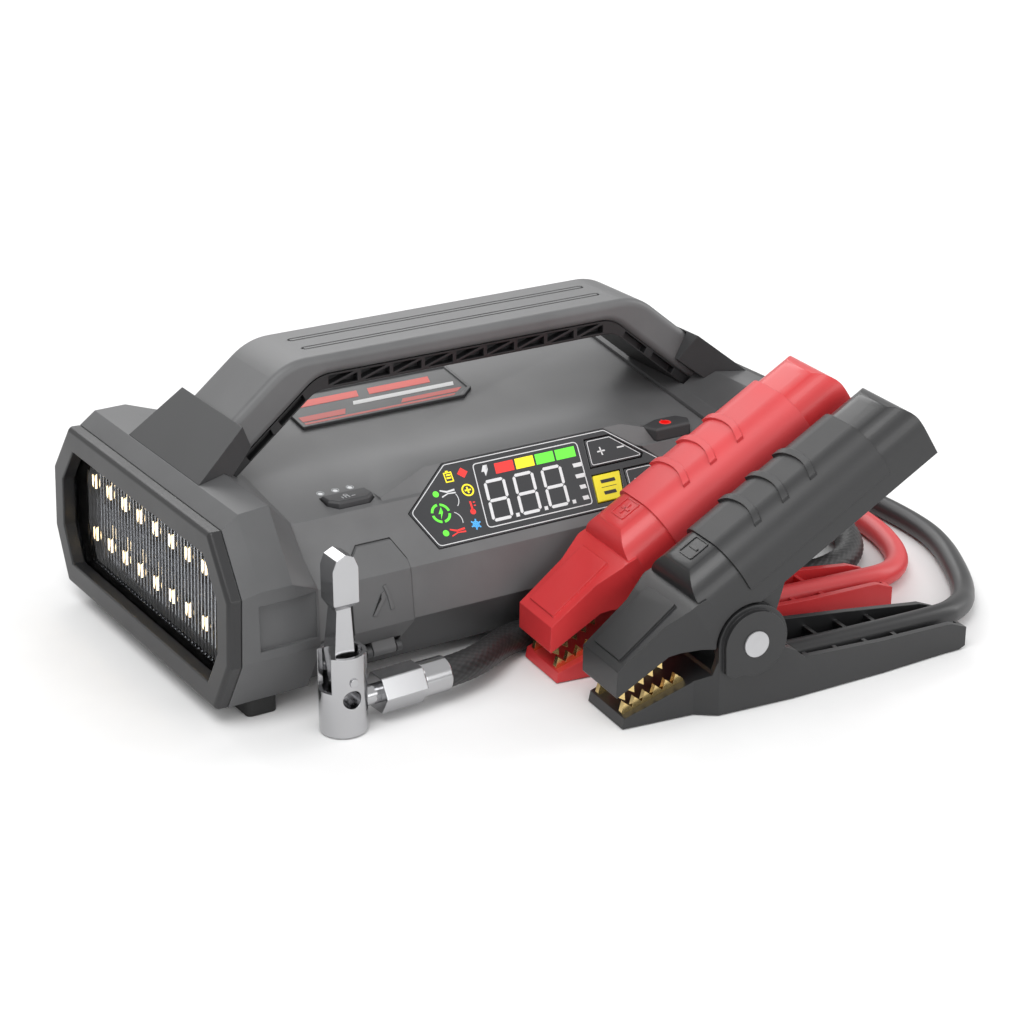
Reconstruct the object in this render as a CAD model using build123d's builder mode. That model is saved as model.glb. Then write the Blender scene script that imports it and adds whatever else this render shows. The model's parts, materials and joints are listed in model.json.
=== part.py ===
"""Jump starter pack with an air pump, a work lamp and a pair of battery clamps.

Millimetres. X runs along the pack, the lamp at -X and the pump outlet at +X. The display faces -Y.
Z is up, and the origin is the middle of the base pad, on the ground.
"""
from build123d import *
from math import atan2, cos, degrees, pi, radians, sin, tan
import os

os.makedirs("parts", exist_ok=True)

# ---- Driving dimensions ----
HALF_LENGTH = 125.0          # origin to the foot of an end face
END_LEAN = 2.3               # degrees that each end face leans back
CASE_END = 86.8              # half length of the two case shells
WALL = 2.6
GAP = 0.35                   # round every moving key, button and door
SEAM_Z = 21.2                # where the lower and upper case meet
CASE_BOTTOM = 4.5

# Case section: y and z of its creases, from the front foot over the top to the rear foot
FRONT_FOOT = (-53.5, CASE_BOTTOM)
FRONT_FLARE = (-62.0, SEAM_Z)
FRONT_WAIST = (-60.0, 39.0)
SLOPE_TOP = (-46.0, 53.2)
SHOULDER = (-44.0, 56.8)
REAR_CREST = (39.5, 69.8)
REAR_SHOULDER = (60.0, 50.0)
REAR_FLARE = (62.0, SEAM_Z)
REAR_FOOT = (53.5, CASE_BOTTOM)
UPPER_SECTION = [FRONT_FLARE, FRONT_WAIST, SLOPE_TOP, SHOULDER, REAR_CREST, REAR_SHOULDER, REAR_FLARE]
LOWER_SECTION = [FRONT_FOOT, FRONT_FLARE, REAR_FLARE, REAR_FOOT]
TOP_PITCH = (REAR_CREST[1] - SHOULDER[1]) / (REAR_CREST[0] - SHOULDER[0])
SLOPE_ANGLE = degrees(atan2(SLOPE_TOP[1] - FRONT_WAIST[1], SLOPE_TOP[0] - FRONT_WAIST[0]))

HANDLE_TOP = 102.5
HANDLE_HALF_WIDTH = 16.5
LEG_ANGLE = 39.0             # degrees of each leg below level

CLAMP_TURN = -5.3            # degrees from +X in plan
CLAMP_ORIGINS = {"black": (-12.5, -121.6), "red": (-12.2, -81.6)}
PIVOT_U, PIVOT_Z = 45.5, 24.5
HANDLE_RISE = 31.5           # degrees of a clamp's upper handle

HOSE_DIAMETER = 10.6
CABLE_DIAMETER = 8.6


def top_z(y):
    """Height of the case's top plane."""
    return SHOULDER[1] + TOP_PITCH * (y - SHOULDER[0])


def save(piece, label):
    solid = piece.part if isinstance(piece, BuildPart) else piece
    solid.label = label
    export_step(solid, f"parts/{label}.step")


def outline(points, grow=0.0):
    """Face of a closed outline, grown or, where grow is negative, shrunk."""
    with BuildSketch() as face:
        Polygon(*points, align=None)
        if grow:
            offset(amount=grow, kind=Kind.INTERSECTION, mode=Mode.REPLACE)
    return face.sketch


SLOPE = Plane(origin=(0, *FRONT_WAIST), x_dir=(1, 0, 0),
              z_dir=(0, -sin(radians(SLOPE_ANGLE)), cos(radians(SLOPE_ANGLE))))
TOP = Plane(origin=(0, 0, top_z(0)), x_dir=(1, 0, 0), z_dir=(0, -TOP_PITCH, 1))
END_FACE = Plane(origin=(-HALF_LENGTH, 0, 6.0), x_dir=(0, 1, 0),
                 z_dir=(cos(radians(END_LEAN)), 0, -sin(radians(END_LEAN))))


# ======== End housings ========
def eight_sided(foot, side, top):
    """Outline from (half width, height) of the foot, of the side's two ends and of the top."""
    (fy, fz), (sy, low, high), (ty, tz) = foot, side, top
    half = [(fy, fz), (sy, low), (sy, high), (ty, tz)]
    return [(-y, z) for y, z in half] + half[::-1]


END_OUTLINE = eight_sided((61.7, 0), (72.5, 18.8, 41.8), (57.9, 60.6))
BEZEL_DEPTH = 5.0
BEZEL_WIDTH = 8.5
HOUSING_SECTIONS = {
    -111.7: eight_sided((61.7, 6), (72.5, 24.8, 49.0), (58.0, 70.6)),
    -100.5: eight_sided((61.7, 6), (72.5, 24.8, 49.0), (57.0, 71.1)),
    -90.5: [(-61.0, 6), (-71.6, 24.8), (-70.8, 44.5), (-48.0, 61.0),
            (42.0, 71.1), (71.0, 49.0), (71.6, 24.8), (61.0, 6)],
    -87.0: [(-55.0, 6), (-63.6, 21.5), (-61.6, 40.0), (-45.2, 58.0),
            (40.5, 71.0), (61.6, 50.6), (63.6, 21.5), (55.0, 6)],
}


def end_loft(inset, sections):
    with BuildPart() as body:
        with BuildSketch(END_FACE.offset(BEZEL_DEPTH)):
            add(outline(END_OUTLINE, -inset))
        for x, points in sections:
            with BuildSketch(Plane.YZ.offset(x)):
                add(outline(points, -inset))
        loft(ruled=True)
    return body.part


HOUSING_OUTER = end_loft(0, list(HOUSING_SECTIONS.items()))
HOUSING_INNER = end_loft(WALL, list(HOUSING_SECTIONS.items())[:-1])

# ---- Handle envelope, which the housings and shrouds make room for ----
LEG_SLOPE = tan(radians(LEG_ANGLE))
LEG_END = 100.0


def bent_bar(top, corner, radius):
    """Half profile line of the handle: level at height top, then down the leg from corner."""
    foot = top - (LEG_END - corner) * LEG_SLOPE
    return [(-LEG_END, foot), (-corner, top), (corner, top), (LEG_END, foot)], radius


OUTER_LINE = bent_bar(HANDLE_TOP, 71.3, 22.0)
MID_LINE = bent_bar(95.5, 59.9, 14.0)
UNDER_LINE = bent_bar(90.3, 60.9, 9.0)


def bar_between(upper, lower, half_width):
    (up, up_radius), (low, low_radius) = upper, lower
    with BuildPart() as bar:
        with BuildSketch(Plane.XZ):
            with BuildLine():
                FilletPolyline(*up, radius=up_radius)
                Line(up[-1], low[-1])
                FilletPolyline(*low[::-1], radius=low_radius)
                Line(low[0], up[0])
            make_face()
        extrude(amount=half_width, both=True)
    return bar.part


HANDLE_ENVELOPE = bar_between(OUTER_LINE, UNDER_LINE, HANDLE_HALF_WIDTH)

WIRE_WINDOW = (70.0, 30.0)
SIDE_PANEL = [(-112.5, 28.0), (-91.5, 28.0), (-91.5, 44.0), (-112.5, 44.0)]
SIDE_PANEL_DEPTH = 1.7


def end_housing(label, lamp_end):
    """Hollow octagonal housing with a shallow side panel, shelf for the lamp or vent, and wire window."""
    with BuildPart() as housing:
        add(HOUSING_OUTER)
        add(HOUSING_INNER, mode=Mode.SUBTRACT)
        add(HANDLE_ENVELOPE, mode=Mode.SUBTRACT)
        with BuildSketch(Plane.YZ.offset(-92.0)):
            with Locations((0, 30)):
                Rectangle(*WIRE_WINDOW)
        extrude(amount=8, mode=Mode.SUBTRACT)
        for face in (Plane.XZ.offset(72.5), Plane.XZ.offset(-72.5)):
            with BuildSketch(face):
                add(outline(SIDE_PANEL))
            extrude(amount=SIDE_PANEL_DEPTH, both=True, mode=Mode.SUBTRACT)
    save(housing.part if lamp_end else mirror(housing.part, about=Plane.YZ), label)


end_housing("lamp_housing", True)
end_housing("pump_housing", False)


def end_plate(depth, thickness, inset):
    """Flat piece parallel to the end face, depth behind it."""
    with BuildPart() as plate:
        with BuildSketch(END_FACE.offset(depth)):
            add(outline(END_OUTLINE, -inset))
        extrude(amount=thickness)
    return plate.part


with BuildPart() as bezel:
    add(end_plate(0, BEZEL_DEPTH, 0))
    chamfer(bezel.faces().sort_by(Axis.X)[0].edges(), length=1.2)
    with BuildSketch(END_FACE):
        add(outline(END_OUTLINE, -BEZEL_WIDTH))
    extrude(amount=BEZEL_DEPTH, mode=Mode.SUBTRACT)
save(bezel, "lamp_bezel")
save(mirror(bezel.part, about=Plane.YZ), "vent_bezel")

# ======== Work lamp ========
LENS_DEPTH = BEZEL_DEPTH
LENS_THICKNESS = 2.0
REFLECTOR_DEPTH = LENS_DEPTH + LENS_THICKNESS + 1.0
REFLECTOR_THICKNESS = 9.0
LED_ROWS = (20.5, 40.5)      # heights on the leaning face
LED_COUNT = 9
LED_PITCH = 13.0
RIB_PITCH = 2.6

with BuildPart() as lens:
    add(end_plate(LENS_DEPTH, LENS_THICKNESS, WALL + 0.2))
    with BuildSketch(END_FACE.offset(LENS_DEPTH + LENS_THICKNESS)):
        with Locations((0, 30.3)):
            with GridLocations(RIB_PITCH, 1, 44, 1):
                Rectangle(1.3, 40)
    extrude(amount=0.7)
save(lens, "lamp_lens")

with BuildPart() as reflector:
    add(end_plate(REFLECTOR_DEPTH, REFLECTOR_THICKNESS, WALL + 1.5))
    for row in LED_ROWS:
        with BuildSketch(END_FACE.offset(REFLECTOR_DEPTH)):
            with Locations((0, row)):
                with GridLocations(LED_PITCH, 1, LED_COUNT, 1):
                    Circle(5.9)
        extrude(amount=REFLECTOR_THICKNESS, taper=16, mode=Mode.SUBTRACT)
save(reflector, "lamp_reflector")

BOARD_DEPTH = REFLECTOR_DEPTH + REFLECTOR_THICKNESS
with BuildPart() as lamp_board:
    add(end_plate(BOARD_DEPTH, 1.6, WALL + 8.0))
save(lamp_board, "lamp_board")

with BuildPart() as leds:
    with BuildSketch(END_FACE.offset(BOARD_DEPTH)):
        for row in LED_ROWS:
            with Locations((0, row)):
                with GridLocations(LED_PITCH, 1, LED_COUNT, 1):
                    Rectangle(3.5, 3.5)
    extrude(amount=-1.4)
save(leds, "lamp_leds")

# ======== Vent panel at the pump end ========
VENT_SLOTS = 7
ELBOW_Y, ELBOW_Z = 33.0, 24.0
with BuildPart() as vent:
    add(end_plate(LENS_DEPTH, 3.0, WALL + 0.2))
    with BuildSketch(END_FACE.offset(LENS_DEPTH - 1)):
        with Locations((-22, 30.3)):
            with GridLocations(1, 5.4, 1, VENT_SLOTS):
                SlotOverall(58, 2.4)
    extrude(amount=6, mode=Mode.SUBTRACT)
    with BuildSketch(END_FACE.offset(LENS_DEPTH - 1)):
        with Locations((ELBOW_Y, ELBOW_Z - 6)):
            Circle(4.4)
    extrude(amount=6, mode=Mode.SUBTRACT)
save(mirror(vent.part, about=Plane.YZ), "vent_panel")

# ======== Case shells ========
PORT_X = (-73.2, -50.5)
PORT_OUTLINE = [(-73.2, 41.7), (-66.4, 47.3), (-53.6, 47.3), (-50.5, 41.5),
                (-50.5, 20.5), (-55.5, 11.4), (-69.3, 11.4), (-73.2, 19.6)]
DOOR_THICKNESS = 2.4
SOCKET_BOX = ((-70.5, -53.5), (22.8, 39.2))
DISPLAY_OUTLINE = [(-43.3, 18.8), (-37.4, 4.1), (53.6, 4.1), (60.4, 18.1), (42.6, 34.0), (-24.0, 34.0)]
PANEL_THICKNESS = 1.6
POWER_OUTLINE = [(58.8, -36.6), (66.5, -33.2), (76.0, -33.4), (78.8, -38.0), (76.0, -43.0), (61.5, -43.0)]
LIGHT_OUTLINE = [(-69.4, -32.6), (-52.2, -32.6), (-52.2, -38.6), (-55.2, -41.2), (-66.6, -41.2),
                 (-69.4, -38.0)]
LAMP_DOTS = [(-67.7, -29.6), (-62.0, -29.6), (-56.4, -29.6)]
LABEL_OUTLINE = [(-52.0, 13.0), (14.0, 13.0), (20.0, 18.0), (20.0, 37.5), (-52.0, 37.5)]


def extruded_section(points, inset=0.0, half=CASE_END):
    with BuildPart() as section:
        with BuildSketch(Plane.YZ.offset(-half)):
            add(outline(points, -inset))
        extrude(amount=2 * half)
    return section.part


FULL_SECTION = [FRONT_FOOT] + UPPER_SECTION + [REAR_FOOT]


def port_band(outward, inward, margin):
    """Skin of the case section, from outward of its face to inward of it, within the port's outline."""
    with BuildPart() as band:
        with BuildSketch(Plane.YZ.offset(PORT_X[0] - 10)):
            add(outline(FULL_SECTION, outward))
        extrude(amount=45)
        with BuildSketch(Plane.YZ.offset(PORT_X[0] - 10)):
            add(outline(FULL_SECTION, -inward))
        extrude(amount=45, mode=Mode.SUBTRACT)
        with BuildSketch(Plane.XZ.offset(30)):
            add(outline(PORT_OUTLINE, margin))
        extrude(amount=60, mode=Mode.INTERSECT)
    return band.part


PORT_POCKET = port_band(3.0, DOOR_THICKNESS + GAP, GAP)

def port_boss(low, high):
    """Solid block behind the port, inside the case section between two heights."""
    with BuildPart() as boss:
        add(extruded_section(FULL_SECTION))
        with BuildSketch(Plane.XY.offset(low)):
            with Locations((-62, -50)):
                Rectangle(29, 18)
        extrude(amount=high - low, mode=Mode.INTERSECT)
    return boss.part


# Hood that lifts the display's upper edge above the top plane
HOOD_SECTION = [SLOPE_TOP, (-35.9, 63.44), (-31.0, 63.9), (-13.0, top_z(-13.0)), (-30.0, 56.0), (-43.0, 54.0)]
HOOD_FRONT = [(-51.0, 50), (-51.0, top_z(-40) + 0.6), (-25.5, 65), (44.0, 65), (72.0, 58.0), (72.0, 50)]
UPPER_INSIDE = [(-59.4, SEAM_Z - 1), (-57.4, 38.0), (-43.4, 51.0), (-41.4, 54.3),
                (38.5, 67.1), (57.4, 49.0), (59.4, SEAM_Z - 1)]
LOWER_INSIDE = [(-52.0, CASE_BOTTOM + WALL), (-59.4, SEAM_Z + 1), (59.4, SEAM_Z + 1),
                (52.0, CASE_BOTTOM + WALL)]
SEAT_WIDTH = 0.9             # ledge that the display panel rests on

with BuildPart() as hood:
    with BuildSketch(Plane.YZ.offset(-60)):
        add(outline(HOOD_SECTION))
    extrude(amount=140)
    with BuildSketch(Plane.XZ.offset(10)):
        add(outline(HOOD_FRONT))
    extrude(amount=60, mode=Mode.INTERSECT)

with BuildPart() as upper_case:
    add(extruded_section(UPPER_SECTION))
    add(hood.part)
    add(extruded_section(UPPER_INSIDE), mode=Mode.SUBTRACT)
    add(port_boss(SEAM_Z, 50.0))
    add(PORT_POCKET, mode=Mode.SUBTRACT)
    with BuildSketch(Plane.XZ.offset(40)):
        (x0, x1), (z0, z1) = SOCKET_BOX
        add(outline([(x0, z0), (x1, z0), (x1, z1), (x0, z1)]))
    extrude(amount=40, mode=Mode.SUBTRACT)
    # Display seat, with a window for its keys and wires
    with BuildSketch(SLOPE.offset(-PANEL_THICKNESS + 0.3)):
        add(outline(DISPLAY_OUTLINE, 0.2))
    extrude(amount=6, mode=Mode.SUBTRACT)
    with BuildSketch(SLOPE.offset(-8)):
        add(outline(DISPLAY_OUTLINE, -SEAT_WIDTH))
    extrude(amount=12, mode=Mode.SUBTRACT)
    # Button wells, lamp indicator holes and the label's recess
    for button in (POWER_OUTLINE, LIGHT_OUTLINE):
        with BuildSketch(Plane.XY.offset(45)):
            add(outline(button, GAP))
        extrude(amount=25, mode=Mode.SUBTRACT)
    with BuildSketch(Plane.XY.offset(45)):
        with Locations(*LAMP_DOTS):
            Circle(0.9)
    extrude(amount=25, mode=Mode.SUBTRACT)
    with BuildSketch(TOP.offset(-0.6)):
        add(outline(LABEL_OUTLINE, 0.1))
    extrude(amount=3, mode=Mode.SUBTRACT)
save(upper_case, "upper_case")

HINGE_Y, HINGE_Z = -59.6, 11.6
HINGE_X = (-65.6, -57.0)
SCREWS = [(x, y) for x in (-78.0, 78.0) for y in (-44.0, 44.0)]
with BuildPart() as lower_case:
    add(extruded_section(LOWER_SECTION))
    add(extruded_section(LOWER_INSIDE), mode=Mode.SUBTRACT)
    add(port_boss(CASE_BOTTOM, SEAM_Z))
    with Locations(*[Location((x, y, CASE_BOTTOM + WALL)) for x, y in SCREWS]):
        Cylinder(4.0, SEAM_Z - CASE_BOTTOM - WALL, align=(Align.CENTER, Align.CENTER, Align.MIN))
    add(PORT_POCKET, mode=Mode.SUBTRACT)
    with BuildSketch(Plane.YZ.offset(HINGE_X[0] - 2.6)):
        with Locations((HINGE_Y, HINGE_Z)):
            Circle(2.3)
    extrude(amount=HINGE_X[1] - HINGE_X[0] + 5.2, mode=Mode.SUBTRACT)
    for x in (HINGE_X[0] - 2.4, HINGE_X[1] + 0.4):
        with BuildSketch(Plane.YZ.offset(x)):
            add(outline([(HINGE_Y - 1.9, HINGE_Z), (HINGE_Y, HINGE_Z - 1.9), (-53.0, 7.2), (-50.5, 12.0),
                         (HINGE_Y, HINGE_Z + 1.9)]))
            with Locations((HINGE_Y, HINGE_Z)):
                Circle(1.9)
                Circle(0.8, mode=Mode.SUBTRACT)
        extrude(amount=2.0)
    with Locations(*[Location((x, y, CASE_BOTTOM)) for x, y in SCREWS]):
        Cylinder(2.6, 3.0, align=(Align.CENTER, Align.CENTER, Align.MIN), mode=Mode.SUBTRACT)
        Cylinder(1.5, SEAM_Z, align=(Align.CENTER, Align.CENTER, Align.MIN), mode=Mode.SUBTRACT)
save(lower_case, "lower_case")

with BuildPart() as screws:
    with Locations(*[Location((x, y, CASE_BOTTOM + 1.0)) for x, y in SCREWS]):
        Cylinder(2.5, 2.0, align=(Align.CENTER, Align.CENTER, Align.MIN))
        Cylinder(1.5, 14.0, align=(Align.CENTER, Align.CENTER, Align.MIN))
save(screws, "case_screws")

# ---- Rubber feet under the housings, and the pad that the pack rests on in the middle ----
FOOT_X, FOOT_Y = 107.5, 54.0
with BuildPart() as feet:
    with BuildSketch(Plane.XY):
        with GridLocations(2 * FOOT_X, 2 * FOOT_Y, 2, 2):
            RectangleRounded(11.0, 15.0, 2.0)
    extrude(amount=6.0)
    with BuildSketch(Plane.XY):
        RectangleRounded(64.0, 26.0, 4.0)
    extrude(amount=CASE_BOTTOM)
    add(HOUSING_OUTER, mode=Mode.SUBTRACT)
    add(mirror(HOUSING_OUTER, about=Plane.YZ), mode=Mode.SUBTRACT)
save(feet, "rubber_feet")

# ======== Handle ========
RIB_OFFSET, RIB_HALF_LENGTH = 5.3, 60.7
LEG_PLATE = Plane(origin=(-111.7, 0, 70.6), x_dir=(0, -1, 0),
                  z_dir=(-sin(radians(LEG_ANGLE)), 0, cos(radians(LEG_ANGLE))))
SHROUD_LENGTH = 24.5

with BuildPart() as handle_shell:
    add(bar_between(OUTER_LINE, MID_LINE, HANDLE_HALF_WIDTH))
    rims = handle_shell.edges().filter_by(lambda e: abs(abs(e.center().Y) - HANDLE_HALF_WIDTH) < 0.01)
    fillet([e for e in rims if e.length > 15 and e.center().Z > 80], radius=2.6)
    with BuildSketch(Plane.XY.offset(HANDLE_TOP - 0.9)):
        with Locations((0, -RIB_OFFSET), (0, RIB_OFFSET)):
            SlotOverall(2 * RIB_HALF_LENGTH, 3.0)
    extrude(amount=3, mode=Mode.SUBTRACT)
    with BuildSketch(Plane.XY.offset(HANDLE_TOP - 0.9)):
        with Locations((0, -RIB_OFFSET), (0, RIB_OFFSET)):
            SlotOverall(2 * RIB_HALF_LENGTH - 1.6, 1.4)
    extrude(amount=0.9)
save(handle_shell, "handle_shell")

TRUSS_HALF_WIDTH = 15.4
POCKET_DEPTH = 3.2
CELL = 12.6
with BuildPart() as handle_truss:
    add(bar_between(MID_LINE, UNDER_LINE, TRUSS_HALF_WIDTH))
    with BuildSketch(Plane.XZ) as pockets:
        for i in range(-4, 5):
            x = i * CELL
            add(outline([(x - 5.6, 94.8), (x + 4.4, 94.8), (x - 5.6, 91.6)]))
            add(outline([(x + 5.6, 94.2), (x + 5.6, 91.1), (x - 4.4, 91.1)]))
        for side in (-1, 1):
            for start in (66.0, 78.5):
                drop = (start - 59.9) * LEG_SLOPE
                run = 9.6 * LEG_SLOPE
                quad = [(start, 94.9 - drop), (start + 9.6, 94.9 - drop - run),
                        (start + 8.2, 92.9 - drop - run), (start - 1.2, 92.6 - drop)]
                add(outline([(side * x, z) for x, z in quad]))
    web = TRUSS_HALF_WIDTH - POCKET_DEPTH
    cutter = extrude(pockets.sketch, amount=20, both=True, mode=Mode.PRIVATE)
    with BuildPart(mode=Mode.PRIVATE) as middle:
        Box(300, 2 * web, 300)
    add(cutter - middle.part, mode=Mode.SUBTRACT)
save(handle_truss, "handle_underside")


def shroud(label, lamp_end):
    """Collar over the foot of a handle leg."""
    with BuildPart() as collar:
        with BuildSketch(LEG_PLATE):
            add(outline([(-28.4, 0), (28.4, 0), (23.8, SHROUD_LENGTH), (-23.8, SHROUD_LENGTH)]))
        with BuildSketch(LEG_PLATE.offset(-11)):
            add(outline([(-25.5, 1), (25.5, 1), (18.5, SHROUD_LENGTH - 2), (-18.5, SHROUD_LENGTH - 2)]))
        loft(ruled=True)
        add(HANDLE_ENVELOPE, mode=Mode.SUBTRACT)
        add(HOUSING_OUTER, mode=Mode.SUBTRACT)
    solid = Part() + max(collar.solids(), key=lambda s: s.volume)
    save(solid if lamp_end else mirror(solid, about=Plane.YZ), label)


shroud("lamp_end_shroud", True)
shroud("pump_end_shroud", False)

# ======== Display, keys and buttons ========
ROCKER_OUTLINE = [(33.2, 31.0), (43.6, 31.0), (53.6, 21.6), (52.6, 20.4), (31.2, 20.4)]
UNIT_OUTLINE = [(30.4, 17.2), (41.8, 17.2), (39.2, 7.0), (28.4, 7.0)]
PUMP_OUTLINE = [(43.8, 17.2), (56.3, 17.2), (50.8, 7.0), (42.2, 7.0)]
KEY_BACK = 1.0               # how far a key stands behind the panel's back

with BuildPart() as display_panel:
    with BuildSketch(SLOPE.offset(0.3 - PANEL_THICKNESS)):
        add(outline(DISPLAY_OUTLINE))
        for key in (ROCKER_OUTLINE, UNIT_OUTLINE, PUMP_OUTLINE):
            add(outline(key, GAP), mode=Mode.SUBTRACT)
    extrude(amount=PANEL_THICKNESS)
save(display_panel, "display_panel")

KEYS = {"plus_minus_key": ROCKER_OUTLINE, "unit_key": UNIT_OUTLINE, "pump_key": PUMP_OUTLINE}
for label, points in KEYS.items():
    with BuildPart() as key:
        with BuildSketch(SLOPE.offset(0.3 - PANEL_THICKNESS - KEY_BACK)):
            add(outline(points))
        extrude(amount=PANEL_THICKNESS + KEY_BACK + 0.1)
    save(key, label)

with BuildPart() as display_board:
    with BuildSketch(SLOPE.offset(-6.2)):
        with Locations((5.0, 16.4)):
            Rectangle(80.0, 18.8)
    extrude(amount=1.6)
save(display_board, "display_board")

for label, points, height in (("power_button", POWER_OUTLINE, 61.4), ("light_button", LIGHT_OUTLINE, 59.6)):
    with BuildPart() as button:
        with BuildSketch(Plane.XY.offset(height - 8.0)):
            add(outline(points))
        extrude(amount=8.0)
        chamfer(button.faces().sort_by(Axis.Z)[-1].edges(), length=0.7)
    save(button, label)

with BuildPart() as label_plate:
    with BuildSketch(TOP.offset(-0.6)):
        add(outline(LABEL_OUTLINE))
    extrude(amount=1.2)
    with BuildSketch(TOP.offset(0.6)):
        add(outline(LABEL_OUTLINE))
        add(outline(LABEL_OUTLINE, -1.4), mode=Mode.SUBTRACT)
    extrude(amount=0.5)
save(label_plate, "label_plate")

# ======== Port door, its pin and the jump socket ========
SOCKET_X, SOCKET_Z = -62.0, 31.0
with BuildPart() as door:
    add(port_band(0.6, DOOR_THICKNESS, 0.0))
    with BuildSketch(Plane.YZ.offset(HINGE_X[0])):
        with Locations((HINGE_Y, HINGE_Z)):
            Circle(1.9)
        add(outline([(HINGE_Y - 1.9, HINGE_Z), (HINGE_Y + 1.6, HINGE_Z - 0.2), (HINGE_Y + 1.2, 15.0),
                     (HINGE_Y - 0.2, 15.0)]))
    extrude(amount=HINGE_X[1] - HINGE_X[0])
    with BuildSketch(Plane.YZ.offset(HINGE_X[0] - 1)):
        with Locations((HINGE_Y, HINGE_Z)):
            Circle(0.85)
    extrude(amount=HINGE_X[1] - HINGE_X[0] + 2, mode=Mode.SUBTRACT)
    for x in (HINGE_X[0] - 1.4, HINGE_X[1] + 1.4):
        with Locations((x, HINGE_Y + 4.0, HINGE_Z)):
            Box(2.0 + 2 * GAP, 16.0, 6.4, mode=Mode.SUBTRACT)
    with Locations((SOCKET_X, -53.0, 11.0)):
        Box(30.0, 7.0, 8.0, mode=Mode.SUBTRACT)
save(door, "port_door")

with BuildPart() as door_pin:
    with BuildSketch(Plane.YZ.offset(HINGE_X[0] - 2.4)):
        with Locations((HINGE_Y, HINGE_Z)):
            Circle(0.8)
    extrude(amount=HINGE_X[1] - HINGE_X[0] + 4.8)
save(door_pin, "door_pin")

SOCKET_PITCH = 8.0
SOCKET_BORE = 2.5
SOCKET_FACE_Y = -50.0
with BuildPart() as socket:
    with BuildSketch(Plane.XZ.offset(-SOCKET_FACE_Y)):
        with Locations((SOCKET_X, SOCKET_Z)):
            Rectangle(16.6, 16.0)
    extrude(amount=-14.0)
    with BuildSketch(Plane.XZ.offset(-SOCKET_FACE_Y)):
        with Locations((SOCKET_X - SOCKET_PITCH / 2, SOCKET_Z), (SOCKET_X + SOCKET_PITCH / 2, SOCKET_Z)):
            Circle(SOCKET_BORE)
    extrude(amount=-12.0, mode=Mode.SUBTRACT)
save(socket, "jump_socket")

# ======== Inside: cells, boards and the air pump ========
BOARD_Z = 43.0
CELL_SIZE = (104.0, 62.0, 9.5)
TRAY_ORIGIN = (-18.0, 4.0, CASE_BOTTOM + WALL)
with BuildPart() as cells:
    for i in range(3):
        with Locations((TRAY_ORIGIN[0], TRAY_ORIGIN[1], TRAY_ORIGIN[2] + 2.0 + i * 10.0)):
            Box(*CELL_SIZE, align=(Align.CENTER, Align.CENTER, Align.MIN))
save(cells, "battery_cells")

with BuildPart() as tray:
    with Locations(TRAY_ORIGIN):
        Box(108.4, 66.4, 22.0, align=(Align.CENTER, Align.CENTER, Align.MIN))
    with Locations((TRAY_ORIGIN[0], TRAY_ORIGIN[1], TRAY_ORIGIN[2] + 2.0)):
        Box(104.4, 62.4, 30.0, align=(Align.CENTER, Align.CENTER, Align.MIN), mode=Mode.SUBTRACT)
    with Locations(TRAY_ORIGIN):
        with GridLocations(112.4, 50.0, 2, 2):
            Box(4.0, 6.0, BOARD_Z - TRAY_ORIGIN[2], align=(Align.CENTER, Align.CENTER, Align.MIN))
save(tray, "battery_tray")

with BuildPart() as main_board:
    with Locations((TRAY_ORIGIN[0], TRAY_ORIGIN[1], BOARD_Z)):
        Box(116.4, 62.0, 1.6, align=(Align.CENTER, Align.CENTER, Align.MIN))
    with Locations((-46.0, 20.0, BOARD_Z + 1.6), (-20.0, 14.0, BOARD_Z + 1.6)):
        Box(16.0, 12.0, 6.0, align=(Align.CENTER, Align.CENTER, Align.MIN))
    with Locations((8.0, 22.0, BOARD_Z + 1.6), (20.0, 22.0, BOARD_Z + 1.6)):
        Cylinder(4.5, 10.0, align=(Align.CENTER, Align.CENTER, Align.MIN))
save(main_board, "main_board")

MODULE = 1.0
PINION_TEETH, CRANK_TEETH = 12, 36
PUMP_Z = 31.0
PINION_Y, CRANK_Y = -16.0, -16.0 + MODULE * (PINION_TEETH + CRANK_TEETH) / 2
GEAR_X, GEAR_WIDTH = 77.0, 5.0
CRANK_THROW = 5.0


def spur_gear(teeth, y, bore, turned):
    """Gear about an axis along X, with straight-sided teeth. turned is its angle in tooth pitches."""
    pitch_radius = MODULE * teeth / 2
    pitch_angle = 360 / teeth
    profile = []
    for i in range(teeth):
        middle = (i + turned) * pitch_angle
        for radius, half_turn in ((pitch_radius - 1.15, -0.33), (pitch_radius + 0.8, -0.12),
                                  (pitch_radius + 0.8, 0.12), (pitch_radius - 1.15, 0.33)):
            angle = radians(middle + half_turn * pitch_angle)
            profile.append((y + radius * cos(angle), PUMP_Z + radius * sin(angle)))
    with BuildPart() as gear:
        with BuildSketch(Plane.YZ.offset(GEAR_X)):
            add(outline(profile))
            with Locations((y, PUMP_Z)):
                Circle(bore, mode=Mode.SUBTRACT)
        extrude(amount=GEAR_WIDTH)
    return gear.part


PINION_BORE, AXLE_RADIUS, RUNNING = 1.55, 2.0, 0.05
save(spur_gear(PINION_TEETH, PINION_Y, PINION_BORE, 0.5), "pump_pinion")

with BuildPart() as crank_gear:
    add(spur_gear(CRANK_TEETH, CRANK_Y, AXLE_RADIUS + RUNNING, 0.0))
    with BuildSketch(Plane.YZ.offset(GEAR_X + GEAR_WIDTH)):
        with Locations((CRANK_Y, PUMP_Z + CRANK_THROW)):
            Circle(1.5)
    extrude(amount=1.8)
save(crank_gear, "crank_gear")

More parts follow.
